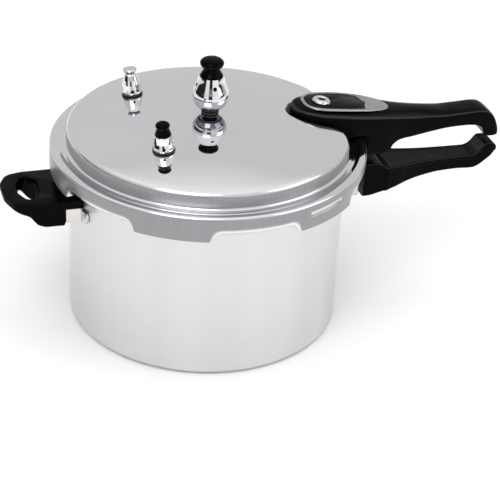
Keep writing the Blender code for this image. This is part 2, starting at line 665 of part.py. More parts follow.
def relief_valve():
    outer = [(3.6, 18.6), (4.9, 17.0), (6.4, 13.0), (7.4, 9.2), (7.9, 5.2), (8.3, 3.4), (8.3, 1.7)]
    pull = [(5.3, 22.3), (5.8, 21.7), (5.8, 20.9), (5.0, 19.8), (3.8, 19.0)]
    angles = [FRONT + 60.0 + 180.0 * k for k in range(2)]
    sprung_valve("relief_valve", outer, 4.6, pull, CHROME, angles)


# ---------------------------------------------------------------- build

clear_scene()
CANNER = new_collection("pressure_canner")
CUTTERS = new_collection("cutters")

pot_body()
canning_rack()
long_bracket()
lower_handle()
pan_screw("lower_handle_screw", (150.0, 0.0), 98.0, 99.2, 109.0)
helper_bracket()
helper_handle()
pan_screw("helper_handle_screw", (-129.0, 0.0), 103.4, 104.9, 119.6)
lid_gasket()
lid_shell()
upper_handle()
for number, spot in enumerate(LID_SCREWS_AT, 1):
    pan_screw(f"upper_handle_screw_{number}", spot, 147.2, SHOULDER - SHEET - GAP - 0.1, 165.0)
badge()
indicator_bush()
float_pin()
moved(on_lid(VENT_AT), vent)
moved(on_lid(VENT_AT), regulator_weight)
moved(on_lid(SAFETY_AT), safety_valve)
moved(on_lid(RELIEF_AT), relief_valve)
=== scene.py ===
import math

import bmesh
import bpy
import numpy as np
from mathutils import Matrix, Vector


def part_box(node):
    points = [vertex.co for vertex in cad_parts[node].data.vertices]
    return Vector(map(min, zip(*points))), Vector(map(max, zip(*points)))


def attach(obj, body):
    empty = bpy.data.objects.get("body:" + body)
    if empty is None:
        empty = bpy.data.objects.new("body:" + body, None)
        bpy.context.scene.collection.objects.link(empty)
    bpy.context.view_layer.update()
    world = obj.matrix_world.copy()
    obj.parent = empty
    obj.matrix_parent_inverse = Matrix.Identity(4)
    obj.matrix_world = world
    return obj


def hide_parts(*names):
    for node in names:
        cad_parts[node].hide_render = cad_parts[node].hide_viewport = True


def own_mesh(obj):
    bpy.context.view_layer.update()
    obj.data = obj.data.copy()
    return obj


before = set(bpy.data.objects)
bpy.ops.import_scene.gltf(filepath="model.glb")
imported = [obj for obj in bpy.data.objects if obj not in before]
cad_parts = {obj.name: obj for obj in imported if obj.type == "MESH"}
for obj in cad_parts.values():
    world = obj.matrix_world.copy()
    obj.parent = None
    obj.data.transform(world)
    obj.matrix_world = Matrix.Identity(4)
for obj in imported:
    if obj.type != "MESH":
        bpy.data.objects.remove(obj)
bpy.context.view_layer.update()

MM = 0.001


def cad_size(node):
    """A node's lowest and highest corner, in millimetres."""
    low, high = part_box(node)
    return np.array(low) / MM, np.array(high) / MM


# Driving sizes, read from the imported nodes
LID_LOW, LID_HIGH = cad_size("lid_shell")
POT_LOW, POT_HIGH = cad_size("pot_body")
SKIRT_RADIUS = LID_HIGH[1]
SKIRT_BOTTOM = LID_LOW[2]
DOME_TOP = LID_HIGH[2]
DOME = 12.0
PLATEAU_RADIUS = 114.3
SHEET = 2.6
SHOULDER = 152.9
RIM_TOP = POT_HIGH[2]
POT_RADIUS = 112.0
POT_WALL = 2.2
POT_BASE = 3.2
RIM_RADIUS = 116.5
LUG_RADIUS = 121.8
LOCKS = 6
LOCK_PITCH = 360.0 / LOCKS
LOCK_TURN = 1.6                       # how far the lips and lugs sit round from even spacing, in degrees
GAP = 0.3
FRONT = -107.0                       # the side that faces the camera, seen from above, in degrees

VENT_AT = (0.0, 0.0)
SAFETY_AT = (-50.1, -46.8)
RELIEF_AT = (-50.4, 55.0)
PIN_X = 94.0
LID_SCREWS_AT = ((103.0, -8.6), (103.0, 8.6))
BADGE_CENTRE = (115.5, 175.2)
BADGE_SLOPE = 7.5
BADGE_BEND = 0.0012                   # how fast the badge curves down towards its ends
UNDER = -SHEET - GAP - 0.1


# ---------------------------------------------------------------- lines

def rounded(points, closed=False, steps=5):
    """A polyline in which each corner with a third value becomes an arc of that radius."""
    line = []
    for i, point in enumerate(points):
        here = np.array(point[:2], float)
        at_end = not closed and i in (0, len(points) - 1)
        if len(point) < 3 or at_end:
            line.append(here)
            continue
        back = np.array(points[i - 1][:2], float) - here
        ahead = np.array(points[(i + 1) % len(points)][:2], float) - here
        back_length, ahead_length = np.linalg.norm(back), np.linalg.norm(ahead)
        back, ahead = back / back_length, ahead / ahead_length
        if np.linalg.norm(back + ahead) < 1e-3:
            line += [here] * (steps + 1)
            continue
        half = math.acos(float(np.clip(back @ ahead, -0.9999, 0.9999))) / 2
        reach = min(point[2] / math.tan(half), 0.49 * back_length, 0.49 * ahead_length)
        middle = (back + ahead) / np.linalg.norm(back + ahead)
        centre = here + middle * reach / math.cos(half)
        start = here + back * reach - centre
        end = here + ahead * reach - centre
        first = math.atan2(start[1], start[0])
        sweep = (math.atan2(end[1], end[0]) - first + math.pi) % math.tau - math.pi
        radius = np.linalg.norm(start)
        for k in range(steps + 1):
            angle = first + sweep * k / steps
            line.append(centre + radius * np.array([math.cos(angle), math.sin(angle)]))
    return [tuple(p) for p in line]


def curve_through(points, per_span=6, closed=False):
    """A centripetal Catmull-Rom curve through every point, in any number of dimensions."""
    given = [np.array(p, float) for p in points]
    if closed:
        given = [given[-1]] + given + given[:2]
    else:
        given = [2 * given[0] - given[1]] + given + [2 * given[-1] - given[-2]]
    line = []
    for p0, p1, p2, p3 in zip(given, given[1:], given[2:], given[3:]):
        t1 = np.linalg.norm(p1 - p0) ** 0.5
        t2 = t1 + np.linalg.norm(p2 - p1) ** 0.5
        t3 = t2 + np.linalg.norm(p3 - p2) ** 0.5
        for k in range(per_span):
            t = t1 + (t2 - t1) * k / per_span
            a1 = (t1 - t) / t1 * p0 + t / t1 * p1
            a2 = (t2 - t) / (t2 - t1) * p1 + (t - t1) / (t2 - t1) * p2
            a3 = (t3 - t) / (t3 - t2) * p2 + (t - t2) / (t3 - t2) * p3
            b1 = (t2 - t) / t2 * a1 + t / t2 * a2
            b2 = (t3 - t) / (t3 - t1) * a2 + (t - t1) / (t3 - t1) * a3
            line.append((t2 - t) / (t2 - t1) * b1 + (t - t1) / (t2 - t1) * b2)
    if not closed:
        line.append(given[-2])
    return [tuple(p) for p in line]


def monotone(xs, ys, wanted):
    """Values between stations with no overshoot (a monotone cubic)."""
    xs, ys = np.array(xs, float), np.array(ys, float)
    width = np.diff(xs)
    slope = np.diff(ys) / width
    tangent = np.zeros(len(xs))
    tangent[0], tangent[-1] = slope[0], slope[-1]
    for i in range(1, len(xs) - 1):
        if slope[i - 1] * slope[i] > 0:
            w1, w2 = 2 * width[i] + width[i - 1], width[i] + 2 * width[i - 1]
            tangent[i] = (w1 + w2) / (w1 / slope[i - 1] + w2 / slope[i])
    wanted = np.clip(wanted, xs[0], xs[-1])
    i = np.clip(np.searchsorted(xs, wanted) - 1, 0, len(xs) - 2)
    t = (wanted - xs[i]) / width[i]
    return ((1 + 2 * t) * (1 - t) ** 2 * ys[i] + t * (1 - t) ** 2 * width[i] * tangent[i]
            + t * t * (3 - 2 * t) * ys[i + 1] + t * t * (t - 1) * width[i] * tangent[i + 1])


def on_circle(radius, degrees, z=0.0):
    angle = math.radians(degrees)
    return np.array([radius * math.cos(angle), radius * math.sin(angle), z])


def ease(value):
    value = min(1.0, max(0.0, value))
    return value * value * (3 - 2 * value)


def mirrored(half):
    """A plan outline from its half with y above zero."""
    return half + [(x, -y, *rest) for x, y, *rest in reversed(half)]


# ---------------------------------------------------------------- meshes

def piece_from(name, points, faces, place=Matrix.Identity(4)):
    """A smooth object from points in millimetres."""
    mesh = bpy.data.meshes.new(name)
    mesh.from_pydata([tuple(place @ (Vector(p) * MM)) for p in points], [], faces)
    form = bmesh.new()
    form.from_mesh(mesh)
    bmesh.ops.remove_doubles(form, verts=form.verts, dist=0.0000002)
    bmesh.ops.recalc_face_normals(form, faces=form.faces)
    form.to_mesh(mesh)
    form.free()
    piece = bpy.data.objects.new(name, mesh)
    bpy.context.scene.collection.objects.link(piece)
    return shade(piece)


def shade(piece, degrees=38.0):
    piece.data.shade_smooth()
    piece.data.set_sharp_from_angle(angle=math.radians(degrees))
    return piece


def turned(name, profile, steps=96, place=Matrix.Identity(4), closed=False):
    """A turned solid from a profile of (radius, height). A radius of zero is a single point."""
    points, rings = [], []
    for r, z in profile:
        if r < 1e-6:
            rings.append([len(points)])
            points.append((0.0, 0.0, z))
            continue
        rings.append(list(range(len(points), len(points) + steps)))
        points += [tuple(on_circle(r, 360.0 * k / steps, z)) for k in range(steps)]
    faces = []
    pairs = list(zip(rings, rings[1:]))
    if closed:
        pairs.append((rings[-1], rings[0]))
    for near, far in pairs:
        for k in range(steps):
            n = (k + 1) % steps
            corners = [near[k % len(near)], near[n % len(near)], far[n % len(far)], far[k % len(far)]]
            face = list(dict.fromkeys(corners))
            if len(face) > 2:
                faces.append(face)
    return piece_from(name, points, faces, place)


def skinned(name, rings, place=Matrix.Identity(4), closed_path=False):
    """A skin over rings of equal length, capped at both ends unless the path closes."""
    count = len(rings[0])
    points = [tuple(p) for ring in rings for p in ring]
    faces = []
    last = len(rings) if closed_path else len(rings) - 1
    for i in range(last):
        near, far = i * count, (i + 1) % len(rings) * count
        for k in range(count):
            n = (k + 1) % count
            faces.append((near + k, far + k, far + n, near + n))
    if not closed_path:
        faces.append(tuple(range(count)))
        faces.append(tuple(range(len(points) - 1, len(points) - 1 - count, -1)))
    return piece_from(name, points, faces, place)


def inset(outline, depth):
    """A smooth closed outline moved inwards along its normals."""
    line = np.array(outline)
    along = np.roll(line, -1, axis=0) - np.roll(line, 1, axis=0)
    along /= np.linalg.norm(along, axis=1)[:, None]
    normal = np.stack([-along[:, 1], along[:, 0]], axis=1)
    following = np.roll(line, -1, axis=0)
    area = np.sum(line[:, 0] * following[:, 1] - following[:, 0] * line[:, 1])
    return line + normal * depth * (1.0 if area > 0 else -1.0)


def slab(name, outline, low, high, top_round=0.0, low_round=0.0, place=Matrix.Identity(4), steps=4):
    """A flat plate with rounded edges."""
    levels = []
    for k in range(steps + 1):
        angle = math.pi / 2 * k / steps
        levels.append((low_round * (1 - math.sin(angle)), low + low_round * (1 - math.cos(angle))))
    for k in range(steps + 1):
        angle = math.pi / 2 * k / steps
        levels.append((top_round * (1 - math.cos(angle)), high - top_round * (1 - math.sin(angle))))
    if low_round == 0.0:
        levels = levels[steps:]
    if top_round == 0.0:
        levels = levels[:-steps]
    rings = [[(x, y, z) for x, y in inset(outline, depth)] for depth, z in levels]
    return skinned(name, rings, place)


def rod(radius, start, end, steps=32):
    """A round cutter between two points."""
    start, end = Vector(start), Vector(end)
    along = end - start
    place = Matrix.Translation(start * MM) @ along.to_track_quat("Z", "Y").to_matrix().to_4x4()
    profile = [(0.0, 0.0), (radius, 0.0), (radius, along.length), (0.0, along.length)]
    return turned("cutter", profile, steps, place)


def block(low, high):
    """A square-edged cutter between two corners."""
    (x0, y0, z0), (x1, y1, z1) = low, high
    return skinned("cutter", [[(x0, y0, z), (x1, y0, z), (x1, y1, z), (x0, y1, z)] for z in (z0, z1)])


def baked(piece):
    """Applies the piece's modifiers."""
    graph = bpy.context.evaluated_depsgraph_get()
    mesh = bpy.data.meshes.new_from_object(piece.evaluated_get(graph))
    piece.modifiers.clear()
    old = piece.data
    piece.data = mesh
    bpy.data.meshes.remove(old)
    mesh.name = piece.name
    return piece


def carve(piece, cutters, operation="DIFFERENCE"):
    """Cuts solids out of a piece, or joins them to it, and removes them."""
    for cutter in cutters:
        step = piece.modifiers.new("Carve", "BOOLEAN")
        step.operation = operation
        step.object = cutter
        step.solver = "EXACT"
    baked(piece)
    for cutter in cutters:
        mesh = cutter.data
        bpy.data.objects.remove(cutter)
        bpy.data.meshes.remove(mesh)
    return piece


def soften(piece, width, segments=3, degrees=35.0):
    """Rounds a piece's sharp edges."""
    step = piece.modifiers.new("Round", "BEVEL")
    step.width = width * MM
    step.segments = segments
    step.limit_method = "ANGLE"
    step.angle_limit = math.radians(degrees)
    step.use_clamp_overlap = True
    step.harden_normals = False
    return shade(baked(piece))


def hexagon(name, across, low, high, bore, place):
    """A chamfered hexagon nut with a round hole."""
    radius = across / math.sqrt(3.0)
    outline = [tuple(on_circle(radius, 60.0 * k)[:2]) for k in range(6)]
    nut = skinned(name, [[(x, y, z) for x, y in outline] for z in (low, high)])
    chamfer = 0.6
    cone = [(0.0, low), (across / 2, low), (radius + 0.1, low + chamfer), (radius + 0.1, high - chamfer),
            (across / 2, high), (0.0, high)]
    carve(nut, [turned("cone", cone, 48)], "INTERSECT")
    carve(nut, [rod(bore, (0, 0, low - 1), (0, 0, high + 1))])
    nut.data.transform(place)
    return shade(nut, 25.0)


def own(piece, body, material, *nodes, finish=None):
    """Gives a piece its material slot and finish, the body it rides on and the nodes it stands for."""
    piece.data.materials.clear()
    piece.data.materials.append(FINISHES[finish or material])
    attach(piece, body)
    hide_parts(*nodes)
    return piece


# ---------------------------------------------------------------- materials

FINISHES = {}


class Finish:
    """A node material under construction."""

    def __init__(self, name, colour, roughness, metallic=0.0, **sockets):
        self.made = FINISHES[name] = bpy.data.materials.new("fine_" + name)
        self.made.use_nodes = True
        self.nodes = self.made.node_tree.nodes
        self.links = self.made.node_tree.links
        self.shader = self.nodes["Principled BSDF"]
        self.shader.inputs["Base Color"].default_value = (*colour, 1.0)
        self.shader.inputs["Roughness"].default_value = roughness
        self.shader.inputs["Metallic"].default_value = metallic
        for socket, value in sockets.items():
            self.shader.inputs[socket.replace("_", " ")].default_value = value
        self.place = self.nodes.new("ShaderNodeTexCoord").outputs["Object"]

    def stretched(self, scale):
        mapping = self.nodes.new("ShaderNodeMapping")
        mapping.inputs["Scale"].default_value = scale
        self.links.new(self.place, mapping.inputs["Vector"])
        return mapping.outputs["Vector"]

    def upwardness(self):
        """How far the surface faces up, from -1 to 1."""
        split = self.nodes.new("ShaderNodeSeparateXYZ")
        self.links.new(self.nodes.new("ShaderNodeNewGeometry").outputs["Normal"], split.inputs[0])
        return split.outputs[2]

    def round_axis(self):
        """The radius, angle and height of a point about the pot's axis."""
        split = self.nodes.new("ShaderNodeSeparateXYZ")
        self.links.new(self.place, split.inputs[0])
        radius = self.math("SQRT", self.math("ADD", self.math("MULTIPLY", split.outputs[0], split.outputs[0]),
                                             self.math("MULTIPLY", split.outputs[1], split.outputs[1])))
        return radius, self.math("ARCTAN2", split.outputs[1], split.outputs[0]), split.outputs[2]

    def around(self, *scales):
        """Coordinates of (radius, angle, height) about the pot's axis, each with its own scale."""
        join = self.nodes.new("ShaderNodeCombineXYZ")
        for socket, value, scale in zip(join.inputs, self.round_axis(), scales):
            self.links.new(self.math("MULTIPLY", value, scale), socket)
        return join.outputs[0]

    def math(self, operation, first, second=None):
        node = self.nodes.new("ShaderNodeMath")
        node.operation = operation
        for socket, value in zip(node.inputs, (first, second)):
            if isinstance(value, (int, float)):
                socket.default_value = value
            elif value is not None:
                self.links.new(value, socket)
        return node.outputs[0]

    def noise(self, vector, scale=1.0, detail=3.0, roughness=0.5):
        node = self.nodes.new("ShaderNodeTexNoise")
        node.inputs["Scale"].default_value = scale
        node.inputs["Detail"].default_value = detail
        node.inputs["Roughness"].default_value = roughness
        self.links.new(vector, node.inputs["Vector"])
        return node.outputs["Fac"]

    def between(self, factor, low, high, from_low=0.3, from_high=0.7):
        """Maps a value of the pattern to a range of the shader's socket."""
        node = self.nodes.new("ShaderNodeMapRange")
        node.inputs["From Min"].default_value = from_low
        node.inputs["From Max"].default_value = from_high
        node.inputs["To Min"].default_value = low
        node.inputs["To Max"].default_value = high
        self.links.new(factor, node.inputs["Value"])
        return node.outputs["Result"]

    def blend(self, factor, low, high):
        """A colour between two, by a value."""
        node = self.nodes.new("ShaderNodeMix")
        node.data_type = "RGBA"
        self.links.new(factor, node.inputs[0])
        colours = [socket for socket in node.inputs if socket.type == "RGBA"]
        for socket, value in zip(colours, (low, high)):
            if isinstance(value, tuple):
                socket.default_value = (*value, 1.0)
            else:
                self.links.new(value, socket)
        return [socket for socket in node.outputs if socket.type == "RGBA"][0]

    def bump(self, height, distance, strength=1.0):
        node = self.nodes.new("ShaderNodeBump")
        node.inputs["Strength"].default_value = strength
        node.inputs["Distance"].default_value = distance
        self.links.new(height, node.inputs["Height"])
        self.links.new(node.outputs["Normal"], self.shader.inputs["Normal"])

    def drive(self, socket, value):
        self.links.new(value, self.shader.inputs[socket])


def polished_aluminium():
    """The lid: bright polished aluminium on top and on every rounded edge; the upright sides are painted a darker,
    finely streaked grey with less metal, painted shade for the sides.
    """
    finish = Finish("aluminium_polished", (0.86, 0.865, 0.875), 0.05, 1.0)
    # Painted shade: upright faces of the wall and the outer skirt get a dark grey colour, standing in for the shade
    # on the sides
    painted_shade_sides = finish.between(finish.math("ABSOLUTE", finish.upwardness()), 1.0, 0.0, 0.26, 0.46)
    radius, _, height = finish.round_axis()
    outermost = finish.between(radius, 0.0, 1.0, (SKIRT_RADIUS - 0.9) * MM, (SKIRT_RADIUS - 0.2) * MM)
    above = finish.between(height, 0.0, 1.0, 0.1475, 0.1490)
    painted_shade_sides = finish.math("MULTIPLY", painted_shade_sides, finish.math("MAXIMUM", outermost, above))
    streaks = finish.noise(finish.around(40.0, 340.0, 10.0), detail=4.0)
    clouds = finish.noise(finish.place, 9.0, 2.0)
    side = finish.blend(finish.between(streaks, 0.0, 1.0), (0.268, 0.268, 0.28), (0.308, 0.308, 0.322))
    top = finish.blend(finish.between(clouds, 0.0, 1.0), (0.84, 0.845, 0.86), (0.88, 0.885, 0.895))
    finish.drive("Base Color", finish.blend(painted_shade_sides, top, side))
    rings = finish.noise(finish.around(1400.0, 1.5, 1400.0), detail=2.0)
    sloping = finish.between(finish.math("ABSOLUTE", finish.upwardness()), 0.28, 0.0, 0.35, 0.85)
    polish = finish.math("ADD", finish.between(rings, 0.02, 0.05), sloping)
    finish.drive("Roughness", polish)
    # Painted shade: the same upright faces are made less metallic, so they read darker
    finish.drive("Metallic", finish.between(painted_shade_sides, 1.0, 0.5, 0.0, 1.0))
    finish.bump(rings, 0.0000012)
    return finish


def satin_aluminium():
    """The pot and its rack: spun, then brushed round, which leaves fine level lines."""
    finish = Finish("aluminium_satin", (0.70, 0.70, 0.71), 0.3, 1.0, Anisotropic=0.55)
    lines = finish.noise(finish.around(2600.0, 1.6, 4200.0), detail=3.0)
    clouds = finish.noise(finish.around(6.0, 3.0, 2.0), detail=2.0)
    shade_of = finish.math("ADD", finish.math("MULTIPLY", lines, 0.45), finish.math("MULTIPLY", clouds, 0.55))
    colour = finish.blend(finish.between(shade_of, 0.0, 1.0), (0.64, 0.64, 0.652), (0.712, 0.712, 0.718))
    finish.drive("Base Color", colour)
    finish.drive("Roughness", finish.between(lines, 0.28, 0.34))
    tangent = finish.nodes.new("ShaderNodeTangent")
    tangent.direction_type = "RADIAL"
    tangent.axis = "Z"
    finish.drive("Tangent", tangent.outputs[0])
    finish.bump(lines, 0.0000015)
    return finish


def chrome():
    finish = Finish("chrome", (0.80, 0.805, 0.82), 0.05, 1.0)
    haze = finish.noise(finish.place, 160.0, 3.0)
    finish.drive("Roughness", finish.between(haze, 0.02, 0.07))
    colour = finish.blend(finish.between(haze, 0.0, 1.0), (0.77, 0.775, 0.79), (0.83, 0.835, 0.85))
    # Painted shade: faces that point down are blended to a dark blue-grey, standing in for shaded undersides
    underside_painted_shade = finish.between(finish.upwardness(), 1.0, 0.0, -0.75, -0.10)
    finish.drive("Base Color", finish.blend(underside_painted_shade, colour, (0.16, 0.175, 0.20)))
    return finish


def plated_steel():
    finish = Finish("steel_plated", (0.62, 0.62, 0.64), 0.28, 1.0)
    grain = finish.noise(finish.stretched((300.0, 300.0, 900.0)), 1.0, 4.0)
    colour = finish.blend(finish.between(grain, 0.0, 1.0), (0.54, 0.54, 0.55), (0.68, 0.68, 0.70))
    finish.drive("Base Color", colour)
    finish.drive("Roughness", finish.between(grain, 0.20, 0.38))
    finish.bump(grain, 0.00001)
    return finish


def bright_steel():
    finish = Finish("steel_bright", (0.66, 0.64, 0.62), 0.16, 1.0)
    haze = finish.noise(finish.place, 120.0, 3.0)
    finish.drive("Base Color", finish.blend(finish.between(haze, 0.0, 1.0), (0.64, 0.62, 0.60), (0.68, 0.66, 0.64)))
    finish.drive("Roughness", finish.between(haze, 0.12, 0.20))
    return finish


def bakelite(name, roughness, shine, grain_depth, painted_crease_highlight=0.0):
    """Moulded black phenolic, with the faint skin that moulding leaves; the last argument paints the rounded top
    creases grey, a painted highlight along them.
    """
    finish = Finish(name, (0.0015, 0.0015, 0.0015), roughness, 0.0, Specular_IOR_Level=shine)
    clouds = finish.noise(finish.place, 45.0, 3.0)
    grain = finish.noise(finish.place, 1300.0, 2.0)
    colour = finish.blend(finish.between(clouds, 0.0, 1.0), (0.0008, 0.0008, 0.0009), (0.0015, 0.0015, 0.0016))
    # Painted highlight: faces that point half up, the rounded creases between top and sides, get the grey given by
    # the last argument
    facing = finish.upwardness()
    edge = finish.math("MULTIPLY", finish.between(facing, 0.0, 1.0, 0.25, 0.60),
                       finish.between(facing, 1.0, 0.0, 0.70, 0.93))
    finish.drive("Base Color", finish.blend(edge, colour, (painted_crease_highlight, painted_crease_highlight, painted_crease_highlight)))
    finish.drive("Roughness", finish.between(clouds, roughness - 0.04, roughness + 0.05))
    finish.bump(grain, grain_depth, 0.5)
    return finish


def badge_silver():
    """Silver trim with a fine brushed grain along the handle."""
    finish = Finish("badge_silver", (0.46, 0.45, 0.44), 0.28, 1.0)
    grain = finish.noise(finish.stretched((120.0, 2600.0, 400.0)), 1.0, 3.0)
    colour = finish.blend(finish.between(grain, 0.0, 1.0), (0.42, 0.412, 0.405), (0.50, 0.49, 0.48))
    finish.drive("Base Color", colour)
    finish.drive("Roughness", finish.between(grain, 0.22, 0.34))
    return finish


def badge_black():
    finish = Finish("badge_black", (0.005, 0.005, 0.006), 0.1, 0.0, Specular_IOR_Level=0.05)
    clouds = finish.noise(finish.place, 90.0, 2.0)
    colour = finish.blend(finish.between(clouds, 0.0, 1.0), (0.0030, 0.0030, 0.0034), (0.0050, 0.0050, 0.0054))
    finish.drive("Base Color", colour)
    finish.drive("Roughness", finish.between(clouds, 0.08, 0.14))
    return finish


def silicone():
    finish = Finish("silicone_white", (0.86, 0.86, 0.84), 0.42, 0.0, Subsurface_Weight=0.2, Subsurface_Scale=0.003)
    clouds = finish.noise(finish.place, 70.0, 3.0)
    colour = finish.blend(finish.between(clouds, 0.0, 1.0), (0.82, 0.82, 0.79), (0.90, 0.90, 0.88))
    finish.drive("Base Color", colour)
    finish.drive("Roughness", finish.between(clouds, 0.36, 0.50))
    finish.bump(finish.noise(finish.place, 900.0, 2.0), 0.00002)
    return finish


def rubber():
    finish = Finish("rubber_black", (0.03, 0.03, 0.03), 0.62, 0.0)
    grain = finish.noise(finish.place, 800.0, 3.0)
    colour = finish.blend(finish.between(grain, 0.0, 1.0), (0.022, 0.022, 0.023), (0.042, 0.042, 0.043))
    finish.drive("Base Color", colour)
    finish.drive("Roughness", finish.between(grain, 0.55, 0.72))
    finish.bump(grain, 0.00003)
    return finish


def floor_paint():
    finish = Finish("floor_paint", (0.94, 0.94, 0.94), 0.9, 0.0)
    clouds = finish.noise(finish.place, 2.0, 2.0)
    colour = finish.blend(finish.between(clouds, 0.0, 1.0), (0.935, 0.935, 0.935), (0.945, 0.945, 0.945))
    finish.drive("Base Color", colour)
    return finish


def all_finishes():
    polished_aluminium()
    satin_aluminium()
    chrome()
    plated_steel()
    bright_steel()
    bakelite("bakelite_black", 0.19, 0.05, 0.000010)
    # The long and helper handles: black with a grey painted highlight along their top creases
    bakelite("bakelite_painted_highlight", 0.19, 0.04, 0.000010, 0.035)
    bakelite("bakelite_matte", 0.46, 0.12, 0.000030)
    badge_silver()
    badge_black()
    silicone()
    rubber()
    floor_paint()


# ---------------------------------------------------------------- pot

def pot():
    """The pot: a straight wall, a rounded base edge, and a turned-out rim with six lugs."""
    inner = POT_RADIUS - POT_WALL
    lug_half, lug_ramp = 12.5, 1.6
    rings = []
    steps = 360
    for k in range(steps):
        degrees = 360.0 * k / steps
        away = abs((degrees - LOCK_TURN) % LOCK_PITCH - LOCK_PITCH / 2)
        reach = RIM_RADIUS + (LUG_RADIUS - RIM_RADIUS) * ease((lug_half + lug_ramp / 2 - away) / lug_ramp)
        profile = [(0.0, POT_BASE), (inner, POT_BASE, 5.0), (inner, RIM_TOP, 0.7), (reach, RIM_TOP, 1.1),
                   (reach, 141.0, 1.1), (POT_RADIUS, 141.0, 1.6), (POT_RADIUS, 0.0, 6.0), (74.0, 0.0, 0.3),
                   (73.0, 0.35, 0.3), (70.0, 0.35, 0.3), (69.0, 0.0, 0.3), (24.0, 0.0, 0.3),
                   (23.0, 0.35, 0.3), (20.0, 0.35, 0.3), (19.0, 0.0, 0.3), (0.0, 0.0)]
        rings.append([tuple(on_circle(r, degrees, z)) for r, z in rounded(profile, steps=6)])
    return own(skinned("pot_body_fine", rings, closed_path=True), "pot", "aluminium_satin", "pot_body")


def rack():
    """The pressed plate that keeps jars off the base, with rolled-in holes."""
    low = POT_BASE + GAP
    high = low + 10.0
    profile = [(0.0, high), (103.0, high, 1.6), (103.0, low, 0.4), (101.6, low, 0.4), (101.6, high - 1.3, 0.8),
               (0.0, high - 1.3)]
    plate = turned("canning_rack_fine", rounded(profile), 180)
    holes = []
    for radius, count in ((34.0, 5), (72.0, 9)):
        for k in range(count):
            x, y, _ = on_circle(radius, 360.0 * k / count)
            holes.append(rod(9.0, (x, y, low + 4), (x, y, high + 4), 40))
    carve(plate, holes)
    return own(soften(plate, 0.4, 2, 50.0), "rack", "aluminium_satin", "canning_rack")


# ---------------------------------------------------------------- long handles

def between_stations(stations, pitch=1.6):
    """Stations along a bar, filled in so that no two are far apart."""
    table = np.array(stations, float)
    steps = np.linalg.norm(np.diff(table[:, :4], axis=0), axis=1)
    reach = np.concatenate([[0.0], np.cumsum(steps)])
    wanted = [0.0]
    for start, length in zip(reach, steps):
        parts = max(2, math.ceil(length / pitch))
        wanted += [start + length * (k + 1) / parts for k in range(parts)]
    wanted = np.array(wanted)
    return np.stack([monotone(reach, column, wanted) for column in table.T], axis=1)


def both_sides(x, half):
    """A closed section from its half, which runs from the top middle to the bottom middle."""
    ring = [(x, y, z) for y, z in half]
    return ring + [(x, -y, z) for y, z in reversed(half[1:-1])]


def crowned_section(x, low, high, width, crown, corner, edge, power):
    """A domed top that meets upright sides in a soft crease."""
    top = [(width * s, high - crown * s ** power) for s in (0.0, 0.2, 0.4, 0.55, 0.7)]
    line = top + [(width, high - crown, edge), (width, low, corner), (0.0, low)]
    return both_sides(x, rounded(line, steps=5))


UPPER_HANDLE = [
    # x, bottom, top, half width, crown, bottom corner, crease radius, crown's power
    (69.6, 163.0, 173.8, 3.0, 1.0, 0.8, 2.0, 4), (70.6, 159.4, 176.2, 7.6, 1.4, 1.6, 3.0, 4),
    (74.0, 155.8, 178.2, 12.6, 1.8, 2.4, 3.6, 5), (78.0, 154.4, 178.6, 15.8, 2.0, 2.6, 4.0, 5),
    (83.0, 153.6, 178.4, 18.4, 2.2, 2.6, 4.0, 5), (90.0, 153.5, 177.8, 20.6, 2.4, 2.6, 4.0, 5),
    (100.0, 153.5, 176.9, 21.8, 2.6, 2.6, 4.0, 5), (114.0, 153.5, 175.2, 22.2, 2.8, 2.6, 4.0, 5),
    (129.9, 153.5, 173.0, 21.2, 3.0, 2.6, 4.0, 5), (130.8, 134.6, 172.9, 21.0, 3.0, 2.6, 4.0, 5),
    (140.0, 134.6, 171.6, 19.6, 3.2, 2.6, 3.8, 4), (151.0, 135.4, 170.2, 17.7, 3.8, 2.6, 3.4, 3.4),
    (154.6, 140.2, 169.7, 17.0, 4.0, 2.6, 3.2, 3), (161.0, 144.0, 168.7, 15.9, 4.2, 2.6, 3.0, 2.8),
    (175.0, 145.4, 166.9, 14.2, 4.2, 2.6, 2.6, 2.5), (190.0, 147.3, 165.0, 13.0, 3.2, 2.6, 2.4, 2.5),
    (207.0, 149.2, 163.0, 12.3, 1.6, 2.4, 2.6, 2.5), (221.0, 149.5, 163.1, 12.0, 1.1, 2.4, 2.8, 3),
    (231.0, 148.6, 163.5, 12.0, 1.0, 2.4, 3.0, 3), (235.8, 146.8, 163.2, 12.0, 1.0, 2.4, 3.0, 3),
    (238.4, 143.4, 162.7, 12.0, 1.0, 2.4, 3.0, 3), (239.8, 140.2, 162.2, 12.0, 1.0, 2.4, 3.0, 3),
    (241.0, 138.2, 161.6, 11.8, 1.0, 2.4, 3.0, 3), (244.4, 137.2, 159.2, 11.6, 1.0, 2.4, 3.0, 3),
    (248.0, 137.0, 154.6, 11.2, 1.0, 2.2, 2.8, 3), (250.6, 137.2, 148.8, 10.6, 1.0, 2.0, 2.6, 3),
    (252.0, 137.8, 144.6, 10.0, 0.8, 1.6, 2.0, 3), (252.6, 139.0, 142.6, 9.0, 0.5, 1.0, 1.0, 3),
]


def upper_handle():
    rings = [crowned_section(*station) for station in between_stations(UPPER_HANDLE)]
    handle = skinned("upper_handle_fine", rings)
    holes = [rod(5.2, (PIN_X, 0, 150), (PIN_X, 0, 162)), rod(2.8, (PIN_X, 0, 150), (PIN_X, 0, 190))]
    holes += [rod(2.3, (x, y, 150), (x, y, 166), 20) for x, y in LID_SCREWS_AT]
    carve(handle, holes)
    return own(shade(handle, 50.0), "lid", "bakelite_black", "upper_handle", finish="bakelite_painted_highlight")


